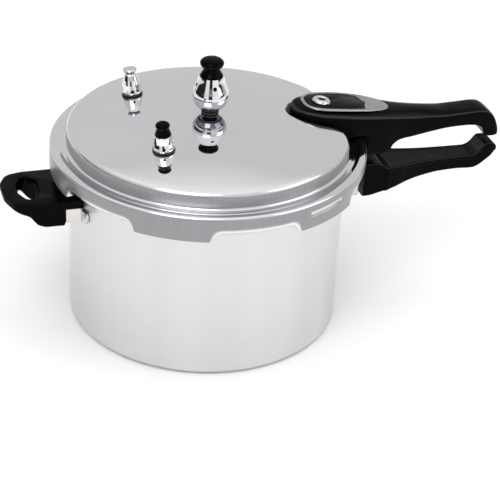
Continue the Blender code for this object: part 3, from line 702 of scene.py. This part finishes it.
LOWER_HANDLE = [
    # x, bottom, top, half width, bottom corner, tray's depth, side ledge
    (132.4, 93.4, 122.4, 14.6, 1.8, 0, 0), (134.0, 93.2, 123.6, 15.2, 2.2, 0, 0),
    (139.0, 93.6, 123.8, 15.6, 2.2, 0, 0.2), (146.0, 95.4, 123.2, 16.0, 2.2, 0, 0.3),
    (151.2, 97.0, 119.4, 16.8, 2.2, 0, 0.4), (152.2, 97.4, 119.2, 18.2, 2.0, 0, 1.0),
    (152.9, 97.6, 120.3, 18.6, 2.0, 0, 1.2), (154.6, 98.2, 120.6, 18.6, 2.0, 0, 1.3),
    (155.6, 98.5, 120.3, 18.4, 2.0, 0.7, 1.4), (160.0, 99.8, 120.3, 17.9, 2.0, 0.8, 1.4),
    (172.0, 103.0, 120.3, 15.2, 2.0, 0.8, 1.4), (186.0, 105.5, 120.3, 12.9, 2.0, 0.8, 1.4),
    (202.0, 107.3, 120.3, 11.6, 2.0, 0.8, 1.4), (218.0, 107.6, 120.3, 10.9, 2.0, 0.8, 1.4),
    (230.5, 106.9, 120.3, 10.6, 2.0, 0.8, 1.2), (232.6, 107.0, 120.8, 10.6, 2.0, 0.3, 1.1),
    (234.6, 107.2, 121.6, 10.5, 2.0, 0, 0.9), (237.4, 108.4, 123.8, 10.4, 2.0, 0, 0.6),
    (240.8, 110.6, 128.0, 10.4, 2.0, 0, 0.3), (242.6, 112.0, 129.6, 10.3, 2.0, 0, 0.2),
    (244.0, 113.2, 129.9, 10.3, 2.0, 0, 0.1), (249.4, 117.6, 129.9, 10.0, 2.0, 0, 0),
    (252.2, 121.0, 128.2, 9.4, 1.8, 0, 0), (254.0, 123.6, 126.0, 8.4, 0.8, 0, 0),
]


def ledged_section(x, low, high, width, corner, depth, ledge):
    """A tray with a raised, rounded border, and a side that steps in below it."""
    line = [(0.0, high - depth), (width - 3.2, high - depth, 0.4), (width - 2.4, high, 0.5), (width, high, 1.0),
            (width, high - 2.6, 0.8), (width - ledge, high - 3.8, 0.8), (width - ledge, low, corner), (0.0, low)]
    return both_sides(x, rounded(line, steps=4))


def lower_handle():
    rings = [ledged_section(*station) for station in between_stations(LOWER_HANDLE)]
    handle = skinned("lower_handle_fine", rings)
    low, high = 95.0, 111.0
    tongue = block((120.0, -7.4, low + 5 - GAP), (155.4, 7.4, high + GAP))
    holes = [tongue, rod(2.5, (150, 0, 80), (150, 0, high + 4)), rod(4.7, (150, 0, 80), (150, 0, 99.6))]
    carve(handle, holes)
    own(shade(handle, 50.0), "pot", "bakelite_black", "lower_handle", finish="bakelite_painted_highlight")
    handle.data.materials.append(FINISHES["bakelite_matte"])
    for face in handle.data.polygons:
        x, y, z = face.center / MM
        if 156.5 < x < 231.0 and 119.2 < z < 119.9 and face.normal.z > 0.95:
            face.material_index = 1
    return handle


def long_bracket():
    """The welded steel tongue that the lower handle slides over."""
    low, high = 95.0, 111.0
    inside = POT_RADIUS + GAP + 0.3
    flange = 128.9 - GAP
    outline = [(inside - 3, -18), (inside, -18, 1), (inside + 4, -14.6, 3), (flange, -14, 1), (flange, -7),
               (155, -7, 2), (155, 7, 2), (flange, 7), (flange, 14, 1), (inside + 4, 14.6, 3), (inside, 18, 1),
               (inside - 3, 18)]
    line = rounded(outline, closed=True, steps=4)
    bracket = skinned("lower_handle_bracket_fine", [[(x, y, z) for x, y in line] for z in (low, high)])
    under = block((flange, -20, low - 3), (160.0, 20, low + 5))
    wall = rod(POT_RADIUS + GAP, (0, 0, low - 5), (0, 0, high + 5), 240)
    carve(bracket, [under, wall, rod(2.3, (150, 0, low - 3), (150, 0, high + 3))])
    return own(soften(bracket, 0.5, 2, 50.0), "pot", "steel_plated", "lower_handle_bracket")


# ---------------------------------------------------------------- helper handle

def upright_plate(side, half_width):
    """A side outline (x, z), extruded across the part."""
    return skinned("plate", [[(x, y, z) for x, z in side] for y in (-half_width, half_width)])


def helper_handle():
    """A short D-shaped handle with a finger slot and a deep root that takes the bracket."""
    side = rounded([(-105, 125), (-168.8, 125, 1.0), (-168.8, 121.4, 1.6), (-158, 116.8, 8), (-151, 114.2, 6),
                    (-145, 106.6, 6), (-139, 104.2, 6), (-123.4, 104, 1.5), (-123.4, 117.8, 0.8),
                    (-105, 117.8)], closed=True, steps=5)
    handle = upright_plate(side, 40.0)
    plan = rounded(mirrored([(-100, 28), (-148, 28, 10), (-161.5, 25.0, 12), (-168.8, 10, 14)]), closed=True, steps=8)
    carve(handle, [skinned("plan", [[(x, y, z) for x, y in plan] for z in (90.0, 140.0)])], "INTERSECT")
    slot = rounded(mirrored([(-138.6, 12, 4), (-145.5, 18.4, 5), (-151.5, 18.2, 5), (-156.6, 7, 7)]),
                   closed=True, steps=6)
    carve(handle, [skinned("slot", [[(x, y, z) for x, y in slot] for z in (90.0, 140.0)])])
    soften(handle, 1.3, 4, 40.0)
    low, high = 105.5, 117.4
    tongue = block((-135.6, -20.4, low + 2 - GAP), (-120.0, 20.4, high - 2 + GAP))
    wall = rod(POT_RADIUS + 0.6, (0, 0, 90), (0, 0, 140), 240)
    carve(handle, [tongue, wall, rod(2.5, (-129, 0, 90), (-129, 0, 120.6)),
                   rod(4.8, (-129, 0, 90), (-129, 0, 105.2))])
    return own(shade(handle, 45.0), "pot", "bakelite_black", "helper_handle", finish="bakelite_painted_highlight")


def helper_bracket():
    """The bright box on the pot wall that carries the helper handle, with its two welded wings."""
    low, high = 105.5, 117.4
    face = -(123.4 - GAP)
    line = rounded(mirrored([(-104.0, 27.0), (face, 27.0, 1.2)]), closed=True, steps=5)
    bracket = skinned("helper_handle_bracket_fine", [[(x, y, z) for x, y in line] for z in (low, high)])
    outline = rounded([(-36.0, low + 0.6, 6.5), (36.0, low + 0.6, 6.5), (36.0, high - 1.0, 2.0),
                       (-36.0, high - 1.0, 2.0)], closed=True, steps=8)
    wings = skinned("wings", [[(x, y, z) for y, z in outline] for x in (-125.0, -95.0)])
    carve(wings, [rod(114.1, (0, 0, low - 5), (0, 0, high + 5), 240)], "INTERSECT")
    tongue = block((-135.2, -20, low + 2), (-118.0, 20, high - 2))
    carve(bracket, [wings, tongue], "UNION")
    carve(bracket, [rod(POT_RADIUS + GAP, (0, 0, low - 5), (0, 0, high + 5), 240),
                    rod(2.3, (-129, 0, low - 3), (-129, 0, high + 3))])
    own(soften(bracket, 0.7, 3, 45.0), "pot", "chrome", "helper_handle_bracket", finish="steel_bright")
    bracket.data.materials.append(FINISHES["steel_plated"])
    for face in bracket.data.polygons:
        if abs(face.center.y) > 27.2 * MM:
            face.material_index = 1
    return bracket


# ---------------------------------------------------------------- lid

RECESS = [(66.2, 0.0), (66.8, 5.4), (68.8, 10.2), (72.2, 14.3), (76.8, 17.7), (82.5, 20.5),
          (89.0, 22.9), (95.2, 25.7), (100.0, 29.9), (102.6, 34.9), (103.2, 41.0), (102.2, 47.6)]
RECESS_DEGREES = [0.0, 2.3, 4.5, 6.8, 9.0, 11.2, 13.5, 16.5, 18.9, 21.2, 23.5, 25.6]
RECESS_END = 29.0
SHOULDER_FLAT = SHOULDER - 0.6       # the shoulder lies a little below its outer bead
SLOT_DEGREES = (-68.9, -51.1)
SLOT_ROWS = (146.4, 141.6)
LIP_BOTTOM = 137.0
LIP_INNER_RADIUS = 117.6


def dome_height(x, y):
    return DOME_TOP - DOME * (x * x + y * y) / PLATEAU_RADIUS ** 2


def lid_outline():
    """The plan outline of the lid's raised top as (skirt angle, x, y)."""
    half = [(x, y, d) for (x, y), d in zip(RECESS, RECESS_DEGREES)]
    half += [(*on_circle(PLATEAU_RADIUS, d)[:2], d) for d in (RECESS_END, RECESS_END + 4.0)]
    bay = curve_through([(x, -y, -d) for x, y, d in reversed(half[1:])] + half, 6)
    columns = [(d, x, y) for x, y, d in bay if abs(d) < RECESS_END - 0.2]
    marks = {360.0 + d for d in SLOT_DEGREES}
    marks.update(RECESS_END + k for k in range(int(360 - 2 * RECESS_END) + 1))
    for k in range(LOCKS):
        for side in (-1, 1):
            marks.update(LOCK_PITCH * (k + 0.5) + LOCK_TURN + side * (12.4 + 0.4 * j) for j in range(13))
    last = RECESS_END - 0.3
    for degrees in sorted(marks):
        if degrees - last > 0.24 and degrees < 360.0 - RECESS_END + 0.01:
            x, y, _ = on_circle(PLATEAU_RADIUS, degrees)
            columns.append((degrees, x, y))
            last = degrees
    return columns


def lip_share(degrees):
    """1 where the skirt is pressed in as a locking lip, 0 where it hangs straight."""
    away = abs((degrees - LOCK_TURN) % LOCK_PITCH - LOCK_PITCH / 2)
    return ease((17.2 - away) / 4.6)


def skirt_rows(degrees):
    """The skirt from its shoulder to its edge as (radius, height)."""
    share = lip_share(degrees)
    straight = [(SKIRT_RADIUS, z) for z in (147.6, *SLOT_ROWS[:1], 144.4, 141.6, 139.4, 137.4, 135.6, 133.9)]
    straight.append((SKIRT_RADIUS, SKIRT_BOTTOM))
    r, z = SKIRT_RADIUS, LIP_BOTTOM
    pressed = [(r, 147.6), (r, 146.2), (r, 144.4), (r - 0.4, 142.3), (r - 1.0, 140.4), (r - 1.9, 138.7),
               (r - 3.3, z + 0.4), (r - 5.6, z), (LIP_INNER_RADIUS, z)]
    return [(a + (c - a) * share, b + (d - b) * share) for (a, b), (c, d) in zip(straight, pressed)]


def lid_section(degrees, point, outward):
    """One section of the lid's outer face, from near its middle to the skirt's edge."""
    away = min(abs(degrees), 360.0 - degrees)
    edge = 2.6 + 3.2 * math.exp(-(away / 8.0) ** 2) + 1.9 * ease((away - 22.0) / 14.0)
    tilt = -math.atan(2 * DOME / PLATEAU_RADIUS ** 2 * float(point @ outward))
    start = point - outward * edge * (1 + math.sin(tilt))
    section = [(*(start * s), dome_height(*(start * s))) for s in np.linspace(0.06, 1.0, 18)]
    centre = section[-1][2] - edge * math.cos(tilt)
    for k in range(1, 9):
        angle = tilt - (math.pi / 2 + tilt) * k / 8
        away = point - outward * edge * (1 + math.sin(angle))
        section.append((*away, centre + edge * math.cos(angle)))
    foot = 2.4
    for z in np.linspace(centre, SHOULDER_FLAT + foot, 5)[1:]:
        section.append((*point, z))
    for k in range(1, 6):
        angle = math.pi / 2 * k / 5
        away = point + outward * foot * (1 - math.cos(angle))
        section.append((*away, SHOULDER_FLAT + foot * (1 - math.sin(angle))))
    inner = np.array(section[-1][:2])
    rim = on_circle(117.2, degrees)[:2]
    section += [(*(inner + (rim - inner) * s), SHOULDER_FLAT) for s in (0.2, 0.4, 0.6, 0.8, 1.0)]
    bead = [(118.0, SHOULDER_FLAT), (119.6, SHOULDER_FLAT, 3.0), (122.4, SHOULDER, 3.0), (123.4, SHOULDER),
            (SKIRT_RADIUS, SHOULDER, 4.3), (SKIRT_RADIUS, SHOULDER - 4.4)]
    section += [tuple(on_circle(r, degrees, z)) for r, z in rounded(bead, steps=6) + skirt_rows(degrees)]
    return section


def lid():
    """The pressed lid: dome, recess for the handle's head, shoulder, and skirt with six lips."""
    columns = lid_outline()
    places = np.array([(x, y) for _, x, y in columns])
    along = np.roll(places, -1, axis=0) - np.roll(places, 1, axis=0)
    along /= np.linalg.norm(along, axis=1)[:, None]
    outward = np.stack([along[:, 1], -along[:, 0]], axis=1)
    points, faces = [(0.0, 0.0, DOME_TOP)], []
    sections = [lid_section(d, p, o) for (d, _, _), p, o in zip(columns, places, outward)]
    rows = len(sections[0])
    for section in sections:
        points += section
    in_slot = [SLOT_DEGREES[0] + 360 - 0.01 < d < SLOT_DEGREES[1] + 360 - 0.01 for d, _, _ in columns]
    first_slot_row = rows - 9 + 1
    for i in range(len(sections)):
        near, far = 1 + i * rows, 1 + (i + 1) % len(sections) * rows
        faces.append((0, near, far))
        for a in range(rows - 1):
            if in_slot[i] and first_slot_row <= a < first_slot_row + 2:
                continue
            faces.append((near + a, near + a + 1, far + a + 1, far + a))
    shell = piece_from("lid_shell_fine", points, faces)
    if shell.data.polygons[0].normal.z < 0:
        shell.data.flip_normals()
    sheet = shell.modifiers.new("Sheet", "SOLIDIFY")
    sheet.thickness = SHEET * MM
    sheet.offset = -1.0
    sheet.use_even_offset = True
    sheet.use_quality_normals = True
    soften(shell, 0.75, 3, 55.0)
    holes = []
    for where, radius in ((VENT_AT, 4.4), (SAFETY_AT, 5.2), (RELIEF_AT, 5.2)):
        place = on_lid(where)
        holes.append(rod(radius, tuple(place @ Vector((0, 0, -0.01)) / MM), tuple(place @ Vector((0, 0, 0.01)) / MM)))
    holes.append(rod(2.7, (PIN_X, 0, 140), (PIN_X, 0, 165)))
    holes += [rod(2.5, (x, y, 140), (x, y, 165)) for x, y in LID_SCREWS_AT]
    carve(shell, holes)
    return own(shade(shell, 45.0), "lid", "aluminium_polished", "lid_shell")


def on_lid(where):
    """The frame of a fitting that stands square on the dome, with its origin on the surface."""
    x, y = where
    slope = 2 * DOME / PLATEAU_RADIUS ** 2
    normal = Vector((slope * x, slope * y, 1.0)).normalized()
    spot = Vector((x, y, dome_height(x, y))) * MM
    return Matrix.Translation(spot) @ normal.to_track_quat("Z", "X").to_matrix().to_4x4()


def gasket():
    """The silicone ring, with its sealing lip."""
    top = SHOULDER_FLAT - SHEET - GAP
    low = RIM_TOP + GAP + 0.1
    profile = [(122.6, top, 0.5), (124.9, top - 2.4, 0.5), (124.9, low, 0.6), (121.6, low, 0.6),
               (121.6, low + 2.4, 0.8), (115.4, low + 2.4, 1.0), (112.4, low, 0.5), (110.4, low, 0.5),
               (110.9, low + 2.8, 1.0), (113.2, top, 0.8)]
    ring = turned("lid_gasket_fine", rounded(profile, closed=True, steps=4), 240, closed=True)
    return own(ring, "gasket", "silicone_white", "lid_gasket")


# ---------------------------------------------------------------- badge and pressure indicator

BADGE_OUTLINE = [(-37.8, 0.0), (-36.8, 7.6), (-33.0, 12.2), (-27.0, 15.7), (-15.0, 17.2), (5.0, 16.5),
                 (22.0, 13.5), (34.0, 8.0), (38.0, 0.0)]
PANEL_TAIL = [(12.6, 12.7, 0.5), (14.2, 8.1, 3), (15.2, 4.2, 2), (17.8, 0.0, 0.4)]
PANEL_SIDE = [(-35.4, 0.0), (-34.6, 6.4), (-31.8, 10.1), (-26.0, 13.5), (-15.0, 14.9), (0.0, 14.3), (9.0, 13.2)]


def badge_place():
    """The frame of the handle's sloping top, about the badge's centre."""
    x, z = BADGE_CENTRE
    return Matrix.Translation(Vector((x, 0.0, z)) * MM) @ Matrix.Rotation(math.radians(BADGE_SLOPE), 4, "Y")


def bent(piece):
    """Curves a flat piece down along the handle, to lie on its top, and puts it in place."""
    for point in piece.data.vertices:
        point.co.z -= BADGE_BEND * (point.co.x / MM) ** 2 * MM
    piece.data.transform(badge_place())
    return piece


def badge():
    """The silver trim plate with the gloss panel let into it."""
    half = BADGE_OUTLINE[1:-1]
    outline = curve_through(BADGE_OUTLINE + [(x, -y) for x, y in reversed(half)], 8, closed=True)
    side = curve_through([(x, -y) for x, y in reversed(PANEL_SIDE[1:])] + PANEL_SIDE, 6)
    tail = rounded(PANEL_TAIL + [(x, -y, *r) for x, y, *r in reversed(PANEL_TAIL[:-1])], steps=3)
    panel_line = side + tail
    trim = slab("badge_frame_fine", outline, GAP, 1.6, top_round=0.5)
    carve(trim, [skinned("pocket", [[(x, y, z) for x, y in panel_line] for z in (-1.0, 4.0)])])
    own(bent(soften(trim, 0.12, 2, 60.0)), "lid", "badge_silver", "badge_frame")
    gap = 0.12
    panel = skinned("badge_panel_fine", [[(x * (1 - gap / 16), y * (1 - gap / 16), z) for x, y in panel_line]
                                         for z in (GAP, 1.3)])
    at = PIN_X - BADGE_CENTRE[0]
    carve(panel, [rod(5.6, (at, 0.0, -2.0), (at, 0.0, 5.0), 48)])
    own(bent(soften(panel, 0.18, 2, 60.0)), "lid", "badge_black", "badge_panel")


def indicator():
    """The bright eyelet in the badge, and the pin that steam lifts inside it."""
    at = PIN_X - BADGE_CENTRE[0]
    place = badge_place() @ Matrix.Translation(Vector((at, 0.0, -BADGE_BEND * at * at)) * MM)
    crown = curve_through([(2.9, 2.4), (3.3, 3.5), (4.5, 4.0), (6.0, 3.7), (7.1, 2.8), (7.6, 1.7)], 5)
    bush = turned("indicator_bush_fine", crown + [(5.2, 1.7), (5.2, GAP), (2.9, GAP)], 64, place, closed=True)
    own(bush, "lid", "chrome", "indicator_bush")
    bush.data.materials.append(FINISHES["rubber_black"])
    inverse = place.inverted()
    for face in bush.data.polygons:
        if (inverse @ face.center).xy.length < 3.2 * MM:
            face.material_index = 1
    at_pin = Matrix.Translation(Vector((PIN_X, 0.0, 0.0)) * MM)
    profile = [(0.0, 176.6), (1.2, 176.6, 0.5), (2.0, 175.8, 0.5), (2.0, 154.4, 0.2), (3.9, 154.4, 0.2),
               (3.9, 153.5, 0.2), (2.0, 153.5, 0.2), (2.0, 144.6), (4.6, 144.6, 0.3), (4.6, 143.0, 0.3), (0.0, 143.0)]
    own(turned("float_pin_fine", rounded(profile), 40, at_pin), "indicator", "chrome", "float_pin")
    seal = [(2.4, 144.9, 0.3), (4.4, 144.9, 0.3), (4.4, 146.0, 0.5), (2.4, 146.0, 0.3)]
    own(turned("float_pin_seal_fine", rounded(seal, closed=True), 40, at_pin, closed=True),
        "indicator", "silicone_white", "float_pin_seal")


# ---------------------------------------------------------------- vent and its weight

def vent():
    """The vent pipe on its dark washer, with the nut and the strainer below the lid."""
    place = on_lid(VENT_AT)
    pipe = [(1.5, 17.0, 0.2), (2.0, 17.0, 0.3), (3.6, 13.6, 1.0), (3.6, 1.9, 0.3), (7.0, 1.7, 0.5),
            (7.0, 0.5, 0.3), (4.0, 0.5), (4.0, UNDER - 10.0, 0.4), (1.5, UNDER - 10.0, 0.2)]
    tube = turned("vent_pipe_fine", rounded(pipe, closed=True, steps=3), 64, place, closed=True)
    own(tube, "lid", "steel_plated", "vent_pipe")
    tube.data.materials.append(FINISHES["rubber_black"])
    surface = DOME_TOP * MM
    for face in tube.data.polygons:
        if face.center.xy.length > 3.7 * MM and surface < face.center.z < surface + 2.7 * MM:
            face.material_index = 1
    own(hexagon("vent_nut_fine", 13.0, UNDER - 4.6, UNDER, 4.3, place), "lid", "steel_plated", "vent_nut")
    cup = [(9.0, UNDER - 4.9, 0.3), (9.0, UNDER - 13.0, 1.2), (1.0, UNDER - 13.0, 0.3), (1.0, UNDER - 11.8, 0.3),
           (7.8, UNDER - 11.8, 0.8), (7.8, UNDER - 6.1, 0.3), (4.3, UNDER - 6.1), (4.3, UNDER - 4.9)]
    strainer = turned("vent_strainer_fine", rounded(cup, closed=True), 64, place, closed=True)
    holes = []
    for k in range(3):
        out = on_circle(12.0, 60.0 * k + 10.0, UNDER - 9.0)
        ends = [place @ (Vector((side * out[0], side * out[1], out[2])) * MM) / MM for side in (-1, 1)]
        holes.append(rod(1.4, *ends, 24))
    own(carve(strainer, holes), "lid", "steel_plated", "vent_strainer")
    shade(strainer, 40.0)


def regulator_weight():
    """The bright weight with its steam holes, and the black knob moulded onto it."""
    place = on_lid(VENT_AT)
    belly = curve_through([(10.2, 31.4), (11.2, 27.6), (13.0, 22.6), (14.4, 18.8), (14.9, 15.8), (14.4, 12.4),
                           (12.8, 8.8), (10.2, 5.6)], 6)
    body = rounded([(1.6, 32.3), (9.9, 32.3, 0.35)]) + belly + rounded(
        [(8.6, 4.1, 0.8), (5.4, 3.9, 0.3), (4.4, 5.2, 0.3), (4.4, 13.8, 0.5), (1.9, 18.4), (1.6, 19.0)])
    weight = turned("weight_body_fine", body, 128, place, closed=True)
    holes = []
    for degrees in (FRONT + 16.0, FRONT + 106.0):
        out = on_circle(16.0, degrees, 25.4)
        ends = [place @ (Vector((side * out[0], side * out[1], out[2])) * MM) / MM for side in (-1, 1)]
        holes.append(rod(1.6, *ends, 32))
    carve(weight, holes)
    own(shade(weight, 40.0), "weight", "chrome", "weight_body")
    weight.data.materials.append(FINISHES["rubber_black"])
    inverse = place.inverted()
    for face in weight.data.polygons:
        inside = inverse @ face.center / MM
        if inside.xy.length < 9.6 and 4.2 < inside.z < 32.0:
            face.material_index = 1
    cap = curve_through([(0.0, 47.2), (4.0, 47.0), (7.4, 46.1), (9.3, 44.3), (9.5, 42.5), (8.3, 40.3), (6.9, 38.8),
                         (6.7, 37.8), (7.3, 36.2), (8.6, 34.0), (9.2, 32.9)], 6)
    own(turned("weight_knob_fine", cap + [(8.9, 32.6), (0.0, 32.6)], 96, place), "weight", "bakelite_black",
        "weight_knob")


# ---------------------------------------------------------------- sprung valves

def coil(name, radius, low, high, turns, wire, place):
    """A round-wire spring."""
    rings, per_turn = [], 28
    count = turns * per_turn
    for i in range(count + 1):
        degrees = 360.0 * i / per_turn
        z = low + wire + (high - low - 2 * wire) * i / count
        rings.append([(*on_circle(radius + wire * math.cos(math.tau * k / 10), degrees)[:2],
                       z + wire * math.sin(math.tau * k / 10)) for k in range(10)])
    return skinned(name, rings, place)


def sprung_valve(name, where, body, outer, neck, pull, pull_material, hole_angles):
    """A spring-loaded valve: body, sealing washer, nut, spring, stem and pull."""
    place = on_lid(where)
    chamber = neck - 1.8
    top, low = outer[0][1], UNDER - 7.4
    profile = [(1.7, top, 0.3)] + [(r, z, 0.5) for r, z in outer]
    profile += [(4.8, 1.7), (4.8, low, 0.4), (1.5, low, 0.3), (1.5, low + 1.8), (chamber, low + 1.8),
                (chamber, top - 2.2), (1.7, top - 2.2)]
    shell = turned(name + "_body_fine", rounded(profile, closed=True, steps=4), 96, place, closed=True)
    holes = []
    for degrees in hole_angles:
        ends = [place @ (Vector(tuple(p)) * MM) / MM for p in ((0.0, 0.0, 4.6), on_circle(14.0, degrees, 4.6))]
        holes.append(rod(1.3, *ends, 24))
    carve(shell, holes)
    own(shade(shell, 35.0), "lid", "chrome", name + "_body")
    rim = outer[-1][0] + 0.3
    washer = rounded([(5.2, 0.4, 0.2), (rim, 0.4, 0.3), (rim, 1.4, 0.4), (5.2, 1.4, 0.2)], closed=True)
    own(turned(name + "_washer_fine", washer, 96, place, closed=True), "lid", "rubber_black", name + "_washer")
    nut = hexagon(name + "_nut_fine", 15.0, UNDER - 5.0, UNDER, 5.1, place)
    own(nut, "lid", "steel_plated", name + "_nut")
    seat = low + 2.1
    stem = [(0.0, top + 1.0), (1.2, top + 1.0, 0.3), (1.2, seat + 1.8, 0.3), (chamber - 0.4, seat + 1.8, 0.2),
            (chamber - 0.4, seat + 0.6, 0.2), (1.0, seat, 0.2), (0.0, seat)]
    own(turned(name + "_stem_fine", rounded(stem), 32, place), body, "steel_plated", name + "_stem")
    spring = coil(name + "_spring_fine", (1.2 + chamber) / 2, seat + 2.1, top - 2.6, 5, 0.3, place)
    own(spring, "lid", "steel_plated", name + "_spring")
    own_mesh(spring)
    knob = curve_through([(0.0, pull[0][1] + 0.0)] + pull, 6)
    knob += [(1.5, pull[-1][1]), (1.5, top + 1.3), (0.0, top + 1.3)]
    own(turned(name + "_pull_fine", knob, 96, place), body, pull_material, name + "_pull")


def valves():
    outer = [(6.5, 13.4), (6.7, 12.8), (7.8, 7.8), (8.3, 4.4), (8.7, 3.4), (8.7, 1.7)]
    pull = [(2.8, 23.7), (5.0, 22.9), (5.6, 21.6), (4.8, 19.6), (5.4, 17.0), (6.4, 13.9)]
    angles = [FRONT - 38.0 + 120.0 * k for k in range(3)]
    sprung_valve("safety_valve", SAFETY_AT, "safety_pull", outer, 5.0, pull, "bakelite_black", angles)
    outer = [(3.6, 18.6), (4.9, 17.0), (6.4, 13.0), (7.4, 9.2), (7.9, 5.2), (8.3, 3.4), (8.3, 1.7)]
    pull = [(3.4, 22.3), (5.3, 22.1), (5.8, 21.6), (5.8, 20.9), (5.0, 19.8), (3.8, 19.0)]
    angles = [FRONT + 60.0 + 180.0 * k for k in range(2)]
    sprung_valve("relief_valve", RELIEF_AT, "relief_pull", outer, 4.6, pull, "chrome", angles)


# ---------------------------------------------------------------- screws

def pan_screw(node, body, at, head_low, head_high, tip, shank=2.0, head=4.2):
    """A pan-head screw, head down, with a cross recess."""
    profile = [(0.0, tip), (shank - 0.5, tip, 0.2), (shank, tip - 0.6, 0.2), (shank, head_high, 0.2),
               (head, head_high, 0.3), (head, head_low + 0.9, 0.5), (head - 1.1, head_low, 0.6), (0.0, head_low)]
    screw = turned(node + "_fine", rounded(profile), 48)
    depth = min(1.0, (head_high - head_low) * 0.6)
    carve(screw, [block((-2.1, -0.45, head_low - 1), (2.1, 0.45, head_low + depth)),
                  block((-0.45, -2.1, head_low - 1), (0.45, 2.1, head_low + depth))])
    screw.data.transform(Matrix.Translation(Vector((*at, 0.0)) * MM))
    return own(shade(screw, 35.0), body, "steel_plated", node)


def screws():
    pan_screw("lower_handle_screw", "pot", (150.0, 0.0), 98.0, 99.2, 109.0)
    pan_screw("helper_handle_screw", "pot", (-129.0, 0.0), 103.4, 104.9, 119.6)
    for number, spot in enumerate(LID_SCREWS_AT, 1):
        pan_screw(f"upper_handle_screw_{number}", "lid", spot, 147.2, SHOULDER - SHEET - GAP - 0.1, 165.0)


# ---------------------------------------------------------------- studio

def floor():
    """A wide pale floor."""
    reach, cells = 12.0, 24
    grid = np.linspace(-reach, reach, cells + 1)
    points = [(x / MM, y / MM, -0.2) for y in grid for x in grid]
    faces = [(a, a + 1, a + cells + 2, a + cells + 1)
             for row in range(cells) for a in range(row * (cells + 1), row * (cells + 1) + cells)]
    ground = piece_from("floor", points, faces)
    if ground.data.polygons[0].normal.z < 0:
        ground.data.flip_normals()
    ground.data.materials.append(FINISHES["floor_paint"])


def surroundings():
    """A soft, pale studio, with a few dark flags near the horizon for bright metal to show."""
    world = bpy.data.worlds.new("studio")
    bpy.context.scene.world = world
    world.use_nodes = True
    nodes, links = world.node_tree.nodes, world.node_tree.links
    background = nodes["Background"]

    def value(operation, first, second=None):
        node = nodes.new("ShaderNodeMath")
        node.operation = operation
        for socket, given in zip(node.inputs, (first, second)):
            if isinstance(given, (int, float)):
                socket.default_value = given
            elif given is not None:
                links.new(given, socket)
        return node.outputs[0]

    def ramp(factor, stops):
        node = nodes.new("ShaderNodeValToRGB")
        colours = node.color_ramp
        while len(colours.elements) < len(stops):
            colours.elements.new(0.5)
        for element, (at, level) in zip(colours.elements, stops):
            element.position = at
            element.color = (level, level, level, 1.0)
        links.new(factor, node.inputs[0])
        return node.outputs["Color"]

    split = nodes.new("ShaderNodeSeparateXYZ")
    links.new(nodes.new("ShaderNodeTexCoord").outputs["Generated"], split.inputs[0])
    angle = value("ARCTAN2", split.outputs[1], split.outputs[0])
    turn = value("FRACT", value("DIVIDE", value("SUBTRACT", angle, math.radians(FRONT)), math.tau))
    around = ramp(value("FRACT", value("ADD", turn, 0.5)), FLAGS)
    height = ramp(value("ADD", value("MULTIPLY", split.outputs[2], 0.5), 0.5), HEIGHTS)
    level = ramp(value("ADD", value("MULTIPLY", split.outputs[2], 0.5), 0.5), SKY)
    mix = nodes.new("ShaderNodeMix")
    mix.data_type = "RGBA"
    links.new(height, mix.inputs[0])
    colours = [socket for socket in mix.inputs if socket.type == "RGBA"]
    links.new(level, colours[0])
    links.new(around, colours[1])
    links.new([socket for socket in mix.outputs if socket.type == "RGBA"][0], background.inputs["Color"])
    background.inputs["Strength"].default_value = 1.0


# Brightness round the horizon, from behind the object, over its left side, the front and its right side
FLAGS = [(0.0, 0.62), (0.17, 0.60), (0.195, 0.02), (0.38, 0.02), (0.40, 0.90), (0.462, 0.95), (0.472, 0.02),
         (0.525, 0.02), (0.54, 1.0), (0.665, 1.0), (0.68, 0.04), (0.735, 0.04), (0.76, 0.40), (0.85, 0.62),
         (1.0, 0.62)]
# How far those flags count, from straight down to straight up
HEIGHTS = [(0.42, 0.0), (0.47, 1.0), (0.61, 1.0), (0.69, 0.0)]
SKY = [(0.0, 0.75), (0.5, 0.62), (0.84, 0.62), (0.90, 0.86), (1.0, 0.94)]

LIGHTS = [
    # name, place, size, power, whether it shows in reflections
    ("key", (-0.9, -1.3, 1.9), 1.4, 21.0, True),
    ("fill", (1.6, -1.0, 1.1), 1.4, 8.0, True),
    ("top", (0.0, 0.2, 2.2), 1.8, 12.0, False),
]


def lamps():
    for name, spot, size, power, shows in LIGHTS:
        lamp = bpy.data.lights.new(name, "AREA")
        lamp.shape = "SQUARE"
        lamp.size = size
        lamp.energy = power
        holder = bpy.data.objects.new(name, lamp)
        bpy.context.scene.collection.objects.link(holder)
        holder.location = spot
        holder.visible_glossy = shows
        towards = Vector((0.0, 0.0, 0.09)) - Vector(spot)
        holder.rotation_euler = towards.to_track_quat("-Z", "Y").to_euler()


CAMERA_PLACE = (-0.3490085, -1.1415554, 0.7647542)
CAMERA_RIGHT = (0.9545987, -0.2934037, 0.0515326)
CAMERA_UP = (0.1086219, 0.5039084, 0.8569000)
CAMERA_BACK = (-0.2773853, -0.8123981, 0.5129004)
CAMERA_LENS = 119.379


def camera():
    lens = bpy.data.cameras.new("camera")
    lens.sensor_width = 36.0
    lens.lens = CAMERA_LENS
    lens.clip_end = 100.0
    holder = bpy.data.objects.new("camera", lens)
    bpy.context.scene.collection.objects.link(holder)
    columns = (CAMERA_RIGHT, CAMERA_UP, CAMERA_BACK, CAMERA_PLACE)
    holder.matrix_world = Matrix([[column[row] for column in columns] for row in range(3)] + [[0.0, 0.0, 0.0, 1.0]])
    bpy.context.scene.camera = holder
    bpy.context.scene.view_settings.view_transform = "Standard"


# ---------------------------------------------------------------- build

all_finishes()
pot()
rack()
long_bracket()
lower_handle()
helper_bracket()
helper_handle()
gasket()
lid()
upper_handle()
badge()
indicator()
vent()
regulator_weight()
valves()
screws()
floor()
surroundings()
lamps()
camera()
